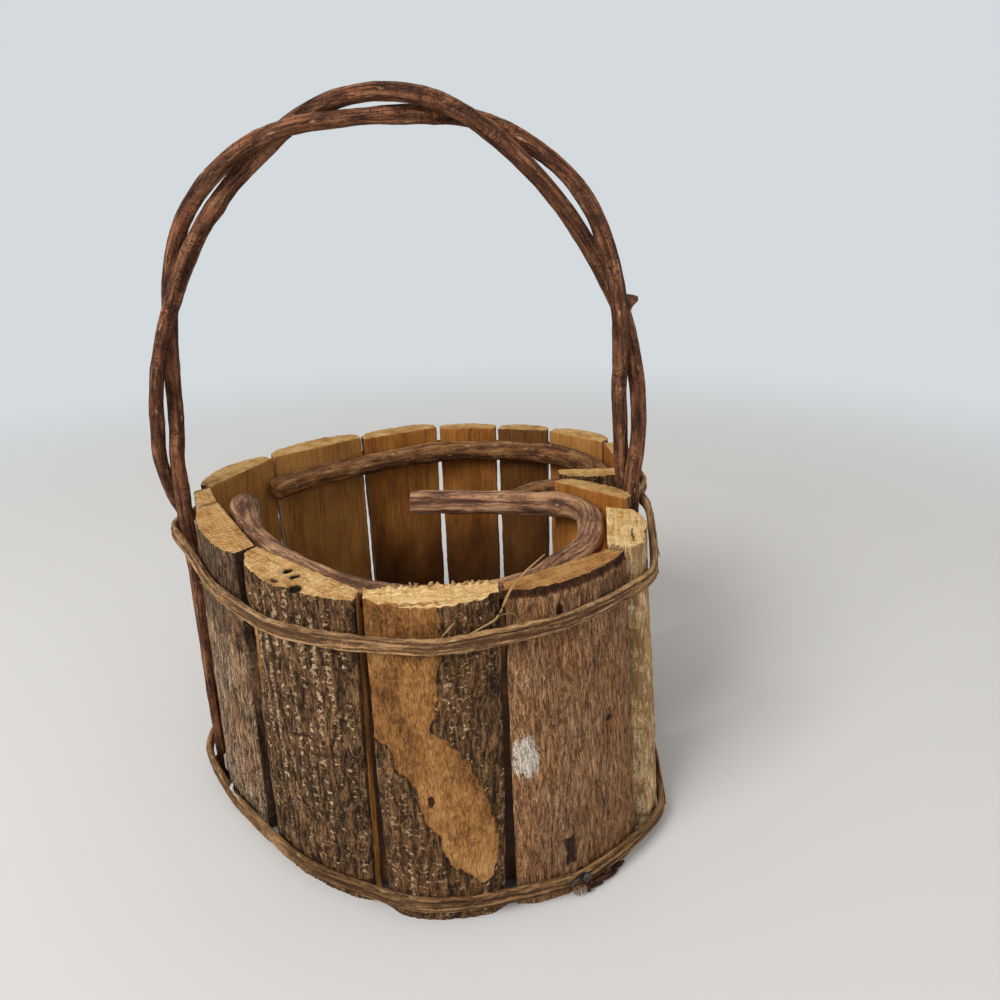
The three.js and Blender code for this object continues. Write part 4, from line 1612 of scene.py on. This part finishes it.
@dataclass
class Band:
    """A band of split vine that binds the staves.

    start is a place near the end that its line starts from. sides is how many sides its section has, and
    loose is how many fibres have come loose from it.
    """

    node: str
    start: Vector
    bark: StemBark
    height_mm: float = 4.5
    thickness_mm: float = 2.3
    sides: int = 48
    loose: int = 26
    seed: float = 0.0

    def build(self) -> bpy.types.Object:
        """Shapes the band along its packed line and dresses it.

        Returns:
            The dressed piece, without its loose fibres.
        """
        path = Path(self.node, self.start)
        shape = rod(self.sides, int(path.length / (0.7 * MM)))
        share, spread, angle = round_places(shape)
        along_mm = share * path.length / MM
        flat = np.sign(np.cos(angle)) * np.abs(np.cos(angle)) ** 0.75
        tall = np.sign(np.sin(angle)) * np.abs(np.sin(angle)) ** 0.75
        hollow = self.strands(np.sin(angle), along_mm) * eased(np.cos(angle), -0.3, 0.3)
        edge = np.sign(tall)
        fray = 0.35 * GRAIN(along_mm / 2.4, edge, self.seed) + 0.25 * GRAIN(along_mm / 6, edge, self.seed)
        fray = eased(np.abs(np.sin(angle)), 0.6, 1) * edge * fray
        outward = (flat * self.thickness_mm / 2 * spread + hollow * eased(spread, 0.2, 1)) * MM
        upward = (tall * self.tallness(along_mm) / 2 * spread + fray * spread) * MM
        spot = path.sample(path.line, share) + self.facing(path, share) * outward[:, None]
        spot[:, 2] += upward
        spot[:, 2] = np.maximum(spot[:, 2], 0.2 * MM)
        move(shape, spot)
        place = np.column_stack([np.cos(angle) * 1.3, np.sin(angle) * 2.2, along_mm + self.seed * 100]) * MM
        marks = {"place": place, "hollow": hollow}
        made = finished(f"{self.node}_dressed", shape, [self.bark], (self.node,), marks)
        self.fringe(path)
        return made

    def tallness(self, along: np.ndarray) -> np.ndarray:
        """Gives the band's height at distances along it, in millimetres."""
        slow, quick = GRAIN(along / 17, self.seed, 0), GRAIN(along / 5, self.seed, 3)
        return self.height_mm * (1 + 0.12 * slow + 0.09 * quick)

    @staticmethod
    def facing(path: Path, share: np.ndarray) -> np.ndarray:
        """Finds the level direction away from the staves.

        Args:
            path: The band's line.
            share: Shares of its length.

        Returns:
            The direction at each.
        """
        tangent = path.sample(path.tangent, share)
        return unit(np.column_stack([-tangent[:, 1], tangent[:, 0], np.zeros(len(share))]))

    def strands(self, level: np.ndarray, along: np.ndarray) -> np.ndarray:
        """Splits the band's face into strands with grooves between them.

        Args:
            level: Places up the face, from -1 to 1.
            along: Distances along the band, in millimetres.

        Returns:
            How far the face stands out there, in millimetres.
        """
        relief = 0.3 * GRAIN(level * 2.1, along / 42, self.seed)
        relief += 0.2 * GRAIN(level * 5, along / 16, self.seed + 4)
        fine = 0.14 * GRAIN(level * 10, along / 6, self.seed + 8)
        fine += 0.1 * GRAIN(level * 3, along / 2.2, self.seed)
        relief += fine
        for index, middle in enumerate((-0.42, 0.08, 0.5)):
            groove = middle + 0.3 * GRAIN(along / 38, self.seed + index * 7, 1)
            groove = groove + 0.06 * GRAIN(along / 7, index, self.seed)
            depth = 0.35 + 0.45 * GRAIN(along / 21, self.seed + index * 3, 9)
            relief = relief - np.maximum(depth, 0.05) * np.exp(-(((level - groove) / 0.13) ** 2))
        return relief

    def fringe(self, path: Path) -> None:
        """Adds thin fibres that have come loose from the band's face and edges.

        Args:
            path: The band's line.
        """
        draw = np.random.default_rng(int(self.seed * 10) + 5)
        fibres = []
        for _ in range(self.loose):
            start, length = draw.uniform(0.01, 0.9), draw.uniform(9, 30) / (path.length / MM)
            level, drift, lift = draw.uniform(-1.05, 1.05), draw.uniform(-0.35, 0.35), draw.uniform(0.1, 1.0)
            share = np.linspace(start, min(start + length, 0.995), FRINGE_POINTS)
            bow = np.linspace(0, 1, FRINGE_POINTS)
            line = path.sample(path.line, share) / MM
            rise = level + drift * bow
            out = self.thickness_mm / 2 * np.sqrt(np.clip(1 - rise**2 * 0.75, 0.1, 1)) + 0.05
            out = out + lift * np.maximum(0, bow - 0.6) ** 2 * 5
            spot = line + self.facing(path, share) * out[:, None]
            spot[:, 2] = np.maximum(spot[:, 2] + rise * self.height_mm / 2, 0.5)
            fibres.append(([tuple(point) for point in spot], draw.uniform(0.14, 0.3)))
        tuft(f"{self.node}_fibres", fibres, self.bark)


# The basket's own finishes

# Bare wood on the face and at the rim of the middle front stave: heights, then where it starts and ends
# across the stave, in millimetres
BARE_PATCH = (
    (87, -1.8, 30),
    (74.5, -0.2, 30),
    (67.8, 0.4, 30),
    (65, 2.6, 30),
    (63.2, 0.6, 30),
    (61.5, -2.6, 30),
    (58.4, -5.2, 14),
    (54.5, -7.2, 12.6),
    (51.5, -8.8, 11.6),
    (48.6, -9.6, 9.6),
    (45.8, -10.6, 6.8),
    (37.6, -13, 6),
    (34, -14, 4.8),
    (30.5, -14.6, 1.2),
    (23.2, -15.7, 0),
    (18.6, -15.4, -1.6),
    (15.5, -14.8, -6.6),
    (12.6, -13.2, -9.4),
    (11.2, -9, -11),
)
RIM_PATCH = ((88.5, 30, 29), (90, 5, 15), (95, 3.4, 14.5), (99, 2.8, 13), (103, 2.6, 12))

FLECKED = Bark("flecked_bark", ("2b1c10", "61452b", "8f6b46"), "6f482c", 0.28, flecks=0.9)
PATCHED = Bark("patched_bark", ("2a1b0e", "64472b", "95704a"), "6a4528", 0.35, flecks=0.6, cracks=0.5)
FINE_BARK = Bark(
    "fine_bark", ("382a1d", "8d7156", "c9a982"), "936746", 0.55, flecks=0.45, fibre=1700, fibre_length=110
)
FIBROUS = Bark(
    "fibrous_bark",
    ("573722", "a67c57", "d2aa84"),
    "b07a4a",
    0.5,
    # Its bare wood is very dark, partly as painted shadow under the bark's torn edge below the top.
    bare=("1c0d06", "3a2011", "5f3b20"),
    fibre=2900,
    fibre_length=170,
    cracks=0.75,
    hairs=0.95,
    softness=1.7,
    speck=0.36,
)
PALE_BARK = Bark(
    "pale_bark",
    ("98774f", "cfaa7a", "f0d6aa"),
    "b98d54",
    bare=("8a6238", "c09a66", "dcbc8c"),
    flecks=0.1,
    fibre=1500,
    fibre_length=90,
    cracks=0.6,
)
# shade is how far painted shade darkens each wood towards its foot inside the basket.
INNER_WOOD = SplitWood("split_wood", ("784512", "a5692a", "bf843f"), "3c1d04", shade=0.92)
PALE_INNER_WOOD = SplitWood(
    "pale_split_wood", ("86571f", "ab773a", "c2904f"), "5c3510", streaks=0.25, shade=0.12
)
DARK_INNER_WOOD = SplitWood("dark_split_wood", ("4c2b0c", "754918", "8f6029"), "341b06")
OUTER_WOOD = SplitWood("split_side_wood", ("7a461a", "b97a3b", "e0a95f"), shade=0.0)
# A lighter copy of the side wood: painted light for the wide dark stave, whose side face stands in a narrow
# gap that the lamps barely reach.
LIT_SIDE_WOOD = SplitWood("painted_lit_side_wood", ("b06c2a", "e8a65c", "ffd08c"), shade=0.0)
# The board's wood is darkened: painted shade for the inside of the basket.
SHADED_BOARD_WOOD = SplitWood("shaded_board_wood", ("2f1b0a", "4f3215", "6d4923"), lying=True)
SAWN_END = EndGrain("sawn_end")
RIDGED_END = EndGrain("ridged_end", ("a8743a", "dba765", "f3cf95"), cut=EndCut.RIDGED)
PITTED_END = EndGrain("pitted_end", ("8a5e2e", "c4985c", "e6c592"), cut=EndCut.PITTED)
TORN_END = EndGrain("torn_end", ("b28440", "e2b877", "fbe3b4"), cut=EndCut.TORN)
RED_END = EndGrain("red_end", ("7d4d24", "b38147", "d3a467"))
VINE_BARK = StemBark(
    "vine_bark",
    ("301b11", "69422d", "976c4e"),
    "84492b",
    spots=0.35,
    scratches=0.2,
    rings=0.8,
    roughness=0.85,
)
TWIG_BARK = StemBark(
    "twig_bark",
    ("54382a", "936a4d", "bd926e"),
    "90603c",
    "3a2016",
    length=40,
    spots=0.3,
    clouds=0.15,
    rings=0.4,
)
DARK_TWIG_BARK = StemBark(
    "dark_twig_bark", ("482b19", "815732", "a67c51"), "7d502c", "26140a", spots=0.55, rings=0.4
)
BAND_FIBRE = StemBark(
    "split_vine",
    ("5a3d24", "a27b54", "caa678"),
    "a87b48",
    "38220f",
    "dcc095",
    ridge=1900,
    length=45,
    spots=0.35,
)
DARK_BAND_FIBRE = StemBark(
    "dark_split_vine",
    ("462e19", "886440", "b38f60"),
    "8c6538",
    "2c1a0b",
    "c9ad80",
    ridge=1900,
    length=45,
    spots=0.4,
)
DRY_FIBRE = StemBark("dry_fibre", ("8a6238", "c19a66", "e0c190"), "b88a50", "6d4a28", spots=0.2)
FOOT_BARK = StemBark("torn_foot_bark", ("170b06", "402314", "6a4129"), "4f2a1a", ridge=900)
NAIL_STEEL = Steel("nail_steel")
OLD_GLUE = Glue("old_glue")


class StaveRing:
    """The ring of staves."""

    def build(self) -> None:
        """Builds every stave."""
        plain = [
            ("stave_cleft_front", FINE_BARK, INNER_WOOD),
            ("stave_tip", PALE_BARK, PALE_INNER_WOOD),
            ("stave_back_1", FLECKED, PALE_INNER_WOOD),
            ("stave_back_2", PATCHED, PALE_INNER_WOOD),
            ("stave_back_3", FINE_BARK, INNER_WOOD),
            ("stave_back_4", FLECKED, INNER_WOOD),
            ("stave_back_5", FIBROUS, DARK_INNER_WOOD),
            ("stave_back_6", PATCHED, PALE_INNER_WOOD),
            ("stave_back_lobe", FINE_BARK, INNER_WOOD),
            ("stave_cleft_back", FLECKED, INNER_WOOD),
        ]
        for index, (node, bark, wood) in enumerate(plain):
            Stave(node, "bark", bark, wood, SAWN_END, seed=3.1 + index * 2.7).build()
        self.first_front()
        self.flecked_front()
        self.patched_front()
        self.fibrous_front()
        self.pale_front()

    def first_front(self) -> None:
        """Builds the fine-barked stave nearest the tip."""
        Stave(
            "stave_front_1",
            "grey_bark",
            FINE_BARK,
            OUTER_WOOD,
            RIDGED_END,
            Relief(crack_mm=0.2, lump_mm=0.3),
            fine=True,
            wrap=0.8,
            painted_flank_shade=((0.85, 0.35), (0.6, 0.6)),
            # The last scar only darkens the stave's upper part.
            scars=(Scar(-8, 14, 18, 26, 0.14), Scar(0, 54, 15, 14, 0.12), Scar(0, 96, 40, 32, -0.52)),
            seed=1.3,
        ).build()

    def flecked_front(self) -> None:
        """Builds the wide dark stave with rows of flecks."""
        Stave(
            "stave_front_2",
            "bark",
            FLECKED,
            LIT_SIDE_WOOD,
            PITTED_END,
            Relief(plate_width_mm=1.5, plate_length_mm=10, fibre_mm=0.2, end_mm=0.35),
            fine=True,
            wrap=0.25,
            bare=(((92, 22, 22), (88, 12.5, 30), (75, 11, 30), (66, 13, 30), (58, 15.5, 30), (50, 20, 20)),),
            painted_flank_shade=((0.0, 0.5), (0.6, 0.7)),
            crowding=(Scar(6, 72, 22, 34, 0.6), Scar(-10, 72, 16, 30, 0.4), Scar(4, 30, 24, 24, 0.25)),
            pits=(
                (2.9, 3.2, 1.8, 1.5, 1.6),
                (-1.2, 4.2, 1.6, 1.5, 1.6),
                (2.6, 8.2, 2.2, 1.0, 0.9),
                (-5.8, 7.9, 2.6, 1.6, 1.7),
            ),
            seed=31.3,
        ).build()

    def patched_front(self) -> None:
        """Builds the middle front stave, with its patch of bare wood."""
        Stave(
            "stave_front_3",
            "bark",
            PATCHED,
            OUTER_WOOD,
            TORN_END,
            Relief(1.6, 12, crack_mm=0.22, lump_mm=0.22, fibre_mm=0.2, end_mm=0.5),
            fine=True,
            wrap=0.5,
            painted_flank_shade=((0.95, 0.95), (0.8, 0.8)),
            bare=(BARE_PATCH, RIM_PATCH),
            pits=((5, 7.6, 11, 0.9, -0.9), (2, 6.2, 12, 0.28, 0.7)),
            scars=(
                Scar(2.7, 41.3, 1.1, 2.2, -1, 0.6),
                Scar(-4.0, 80.6, 1.7, 1.9, -0.55, -0.5),
                Scar(4, 88, 9, 2.4, -0.5),
            ),
            crowding=(Scar(-6, 72, 5, 26, 0.6), Scar(-11, 40, 3, 30, 0.5), Scar(10, 26, 6, 20, 0.6)),
            seed=33.7,
        ).build()

    def fibrous_front(self) -> None:
        """Builds the wide reddish stave."""
        Stave(
            "stave_front_4",
            "red_bark",
            FIBROUS,
            OUTER_WOOD,
            RED_END,
            Relief(1.3, 12, crack_mm=0.22, lump_mm=0.25, fibre_mm=0.2),
            fine=True,
            wrap=1.0,
            painted_flank_shade=((0.5, 0.5), (1.0, 1.0)),
            scars=(
                Scar(17.6, 51.5, 4.0, 7.4, 0.86),
                # The second scar only darkens the stave's lower part.
                Scar(0, 12, 30, 24, -0.32),
                Scar(5.7, 15.5, 2.0, 6, -0.9, 0.3, 6),
                Scar(-10.3, 53.4, 1.5, 1.4, -0.8, 0.4),
                Scar(-10.3, 53.4, 3.6, 3.2, -0.4, 0.2),
                Scar(5.9, 93, 1.2, 3.4, -0.9, 0.6),
            ),
            ragged_mm=1.9,
            step_mm=1.0,
            seed=35.9,
        ).build()

    def pale_front(self) -> None:
        """Builds the narrow pale stave."""
        Stave(
            "stave_front_5",
            "pale_bark",
            PALE_BARK,
            OUTER_WOOD,
            TORN_END,
            Relief(crack_mm=0.3, end_mm=0.2),
            fine=True,
            wrap=1.4,
            painted_flank_shade=((0.0, 0.0), (0.0, 0.0)),
            pits=((4, 7.4, 8, 0.5, 0.9),),
            seed=37.1,
        ).build()


class Handle:
    """The two vines that are twisted round each other."""

    def build(self) -> None:
        """Builds both vines."""
        knobs = (
            Knot((-53.2, -3.7, 192.3), 3.0, 1.0),
            Knot((70.1, -1.4, 162.3), 2.1, 4.4, 3.5),
            Knot((30, -3, 214), 3, 0.5),
        )
        bulges = (
            Knot((12.4, -2.2, 213.4), 2.8, 0.9),
            Knot((-71, -4, 165), 2.4, 0.6),
            Knot((60, -4, 180), 2.6, 0.6),
        )
        shared = {"bark": VINE_BARK, "slot": "vine", "ridge_mm": 0.22, "widen": 0.96}
        Stem("handle_vine_a", Vector((-0.08, 0, 0.1)), knots=knobs, seed=1.7, **shared).build()
        Stem(
            "handle_vine_b", Vector((-0.08, 0, 0)), knots=bulges, seed=4.4, foot_widen=0.22, **shared
        ).build()


class Lining:
    """The two bent twigs under the rim."""

    def build(self) -> None:
        """Builds both twigs."""
        Stem(
            "inner_twig_front",
            Vector((-0.01, 0, 0.1)),
            TWIG_BARK,
            "twig",
            ridges=4,
            ridge_mm=0.34,
            knots=(
                Knot((18.5, -4.6, 94.5), 1.6, 0.7),
                Knot((48, -9.5, 96), 2.2, 0.8),
                Knot((33, -6, 97), 1.5, 0.5),
                Knot((-56.6, -8, 100.6), 5, 0.9),
            ),
            dome=(0.1, 0.6),
            sides=52,
            pitch_mm=0.9,
            seed=8.1,
            widen=0.98,
        ).build()
        Stem(
            "inner_twig_back",
            Vector((-0.06, 0.02, 0.1)),
            DARK_TWIG_BARK,
            "twig",
            ridges=4,
            ridge_mm=0.3,
            dome=(0.2, 0.2),
            sides=52,
            seed=12.5,
        ).build()


class Bindings:
    """The two bands."""

    def build(self) -> None:
        """Builds the bands."""
        Band("upper_band", Vector((0.07, -0.02, 0.09)), BAND_FIBRE, seed=2.2).build()
        Band("lower_band", Vector((0.07, -0.02, 0.01)), DARK_BAND_FIBRE, height_mm=4.9, seed=6.6).build()


class Trimmings:
    """Loose fibres, torn bark, old glue and a bent nail shank. Places are in millimetres."""

    def build(self) -> None:
        """Builds the small pieces."""
        self.loose_fibres()
        self.torn_foot()
        self.splinters()
        shank = [(50.9, -77.3, 8.3), (49, -79.3, 8.2), (46.9, -81, 7.0)]
        tuft("bent_nail", [(shank, 0.5)], NAIL_STEEL)
        glue = [
            ([(-62.9, -41.0, 13.0), (-63.6, -41.8, 10.8), (-62.8, -43.2, 9.6), (-60.6, -45.2, 9.4)], 0.32),
            ([(-64.0, -40.6, 11.4), (-64.4, -41.2, 10.0), (-63.4, -42.4, 9.4)], 0.4),
        ]
        tuft("glue_drip", glue, OLD_GLUE)

    def loose_fibres(self) -> None:
        """Adds the fibres that hang over the rim and the upper band, and a dark wad of torn bark at the tip's
        foot that partly stands in for shade.
        """
        over_rim = [
            (39.9, -69, 108.1),
            (37.5, -70.6, 106.7),
            (34.6, -72.4, 104.8),
            (31.5, -75, 102.3),
            (29.9, -76.6, 100.3),
            (28.9, -77.4, 98.2),
            (27.5, -78, 95.3),
            (23, -80.6, 93.6),
            (19.5, -83.4, 93.1),
        ]
        branch = [(27.5, -77.8, 95.3), (29.3, -77.3, 95.7), (31.4, -76.9, 95.5), (32.6, -77, 94.2)]
        second = [(13.4, -83.3, 92.8), (15.2, -82.9, 94.8), (16.9, -82.5, 96.6)]
        tuft("rim_fibres", [(over_rim, 0.34), (branch, 0.2), (second, 0.3)], DRY_FIBRE)
        # A dark wad of torn bark at the tip's foot, partly painted shade: it fills the shaded hole between
        # the leg, the tip stave and the lower band.
        shade_wad = [
            ([(-76.4, -19, 6), (-74.8, -24, 6.4), (-71.6, -28.4, 5)], 1.5),
            ([(-76, -21, 3.6), (-73.6, -26, 4), (-70.6, -30, 3)], 1.6),
            ([(-74.5, -22, 1.6), (-72.4, -26.6, 1.8), (-69, -31.2, 1.6)], 1.4),
            ([(-75.4, -19.6, 8), (-74.4, -22.6, 5), (-73, -26.4, 1.2)], 0.9),
        ]
        tuft("tip_shade_wad", shade_wad, FOOT_BARK)

    def torn_foot(self) -> None:
        """Adds the torn bark and fibres under the lower band."""
        chunks = [
            ([(54, -75.2, 2.0), (56.5, -74.4, 2.6), (59, -72.6, 2.2)], 0.9),
            ([(57.5, -73.4, 1.0), (60, -71.8, 1.6), (62, -70, 1.1)], 0.9),
            ([(60, -71.2, 2.6), (62.4, -69.4, 2.2), (64.4, -67.4, 1.6)], 0.8),
            ([(52.5, -76.2, 0.9), (55, -75.2, 1.1), (57, -74.4, 0.9)], 0.7),
            ([(52.3, -77.0, 3.4), (52.6, -77.5, 2.0), (52.4, -77.5, 0.8)], 0.7),
        ]
        tuft("torn_bark", chunks, FOOT_BARK)
        draw = np.random.default_rng(23)
        fibres = []
        for index in range(9):
            x = 48 + index * 0.42
            start = np.array([x, -80.6 + (x - 43.5) * 0.34, draw.uniform(3.4, 4.6)])
            end = start + (draw.uniform(-0.8, 0.8), draw.uniform(-0.7, 0.2), -draw.uniform(1.6, 3.4))
            end[2] = max(end[2], 0.3)
            middle = (start + end) / 2 + (draw.uniform(-0.5, 0.5), -0.4, 0)
            fibres.append(([tuple(start), tuple(middle), tuple(end)], draw.uniform(0.12, 0.3)))
        tuft("foot_fibres", fibres, BAND_FIBRE)

    def splinters(self) -> None:
        """Adds splinters along the inner edge of the middle front stave's torn top."""
        form = StaveForm("stave_front_3")
        inset, sunk = 0.7 * MM, 0.3 * MM
        draw = np.random.default_rng(41)
        fibres = []
        for across in (-13.5, -12.2, -10.8, -9.6, -8.1, -6.0, 0.6, 3.4, 4.1, 5.0, 9.0):
            root = [np.array([part]) for part in (across * MM, inset, form.top[0] - sunk)]
            place = form.stand(*root)[0] / MM
            tip = place + (draw.uniform(-1.4, 1.4), draw.uniform(-0.5, 0.8), draw.uniform(0.4, 1.5))
            middle = (place + tip) / 2 + (0, 0, 0.3)
            fibres.append(([tuple(place), tuple(middle), tuple(tip)], draw.uniform(0.25, 0.5)))
        tuft("top_splinters", fibres, DRY_FIBRE)


def dress_node(node: str, finish: Finish) -> None:
    """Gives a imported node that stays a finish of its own.

    Args:
        node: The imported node.
        finish: Its finish.
    """
    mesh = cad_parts[node].data
    mesh.materials.clear()
    mesh.materials.append(finish.material())


# Stage


@dataclass
class Studio:
    """Camera, lamps, floor and background.

    pitch and roll turn the camera, in degrees. wall colours the background, floor the floor and light the
    light of the room. The floor fades into the background between the two distances of fade.
    """

    eye: Vector = field(default_factory=lambda: Vector((0.02871, -0.24253, 0.1916)))
    lens_mm: float = 27.04
    sensor_mm: float = 36
    pitch: float = 68.5
    roll: float = -1.3
    wall: str = "d4dadd"
    floor: str = "d7d6d5"
    light: str = "f4f1ec"
    fade: tuple[float, float] = (0.28, 0.75)

    def build(self) -> None:
        """Sets the stage."""
        self.place_camera()
        self.light_world()
        self.hang_lamp("key_lamp", Vector((-0.62, -0.72, 0.9)), 0.6, 0.8)
        self.hang_lamp("fill_lamp", Vector((0.7, -0.8, 0.6)), 0.9, 0.14)
        self.lay_floor()

    def place_camera(self) -> None:
        """Puts the camera at the photograph's angle."""
        data = bpy.data.cameras.new("camera")
        data.sensor_width = self.sensor_mm
        data.lens = self.lens_mm
        data.clip_start = 0.005
        camera = bpy.data.objects.new("camera", data)
        tilt = Matrix.Rotation(math.radians(self.pitch), 4, "X")
        turn = tilt @ Matrix.Rotation(math.radians(self.roll), 4, "Z")
        camera.matrix_world = Matrix.Translation(self.eye) @ turn
        bpy.context.scene.collection.objects.link(camera)
        bpy.context.scene.camera = camera

    def light_world(self) -> None:
        """Lights the object evenly, and shows the camera a pale background."""
        world = bpy.data.worlds.new("pale_room")
        world.use_nodes = True
        graph = Graph(world.node_tree)
        seen = self.seen_ray(graph)
        colour = graph.mix(seen, self.light, self.wall)
        strength = seen * 0.42 + 0.58
        graph.ends(graph.node("ShaderNodeBackground", {}, {0: colour, 1: strength}), "ShaderNodeOutputWorld")
        bpy.context.scene.world = world

    @staticmethod
    def seen_ray(graph: Graph) -> Flow:
        """Finds what the camera sees, also in metal or through glass.

        Args:
            graph: The graph to add to.

        Returns:
            1 for what it sees and 0 for the light that falls on the object.
        """
        rays = graph.node("ShaderNodeLightPath")
        kinds = ("Is Camera Ray", "Is Glossy Ray", "Is Transmission Ray")
        camera, glossy, through = (Flow(graph, rays.outputs[kind]) for kind in kinds)
        return camera.most(glossy).most(through)

    def hang_lamp(self, name: str, place: Vector, size: float, level: float) -> None:
        """Hangs a soft lamp that points at the basket.

        Args:
            name: The lamp's name.
            place: Where it hangs.
            size: Width of the lamp.
            level: The brightness that it gives a white surface that faces it.
        """
        aim = Vector((0, 0, 0.08))
        data = bpy.data.lights.new(name, "AREA")
        data.size = size
        data.energy = level * math.pi**2 * (place - aim).length_squared
        lamp = bpy.data.objects.new(name, data)
        turn = (place - aim).to_track_quat("Z", "Y").to_matrix().to_4x4()
        lamp.matrix_world = Matrix.Translation(place) @ turn
        bpy.context.scene.collection.objects.link(lamp)

    def lay_floor(self) -> None:
        """Lays a pale floor that fades into the background far from the basket."""
        shape = bmesh.new()
        bmesh.ops.create_grid(shape, x_segments=2, y_segments=2, size=4)
        mesh = bpy.data.meshes.new("floor")
        shape.to_mesh(mesh)
        shape.free()
        material = bpy.data.materials.new("floor")
        material.use_nodes = True
        graph = Graph(material.node_tree)
        length = {"operation": "LENGTH"}
        away = graph.flow("ShaderNodeVectorMath", length, {0: graph.position()}, "Value")
        matt = graph.node("ShaderNodeBsdfDiffuse", {}, {0: tint(self.floor)})
        glow = graph.node("ShaderNodeEmission", {}, {0: tint(self.wall)})
        far = away.between(*self.fade) * self.seen_ray(graph)
        both = graph.node("ShaderNodeMixShader", {}, {0: far})
        graph.tree.links.new(matt.outputs[0], both.inputs[1])
        graph.tree.links.new(glow.outputs[0], both.inputs[2])
        graph.ends(both)
        mesh.materials.append(material)
        floor = bpy.data.objects.new("floor", mesh)
        bpy.context.scene.collection.objects.link(floor)


def main() -> None:
    """Builds the dressed basket and its stage."""
    logging.basicConfig(level=logging.INFO, format="%(name)s: %(message)s")
    StaveRing().build()
    Handle().build()
    Lining().build()
    Bindings().build()
    Trimmings().build()
    dress_node("base_board", SHADED_BOARD_WOOD)
    for index in (1, 2, 3):
        dress_node(f"band_nail_{index}", NAIL_STEEL)
    Studio().build()
    bpy.context.scene.view_settings.view_transform = "Standard"


if __name__ == "__main__":
    main()
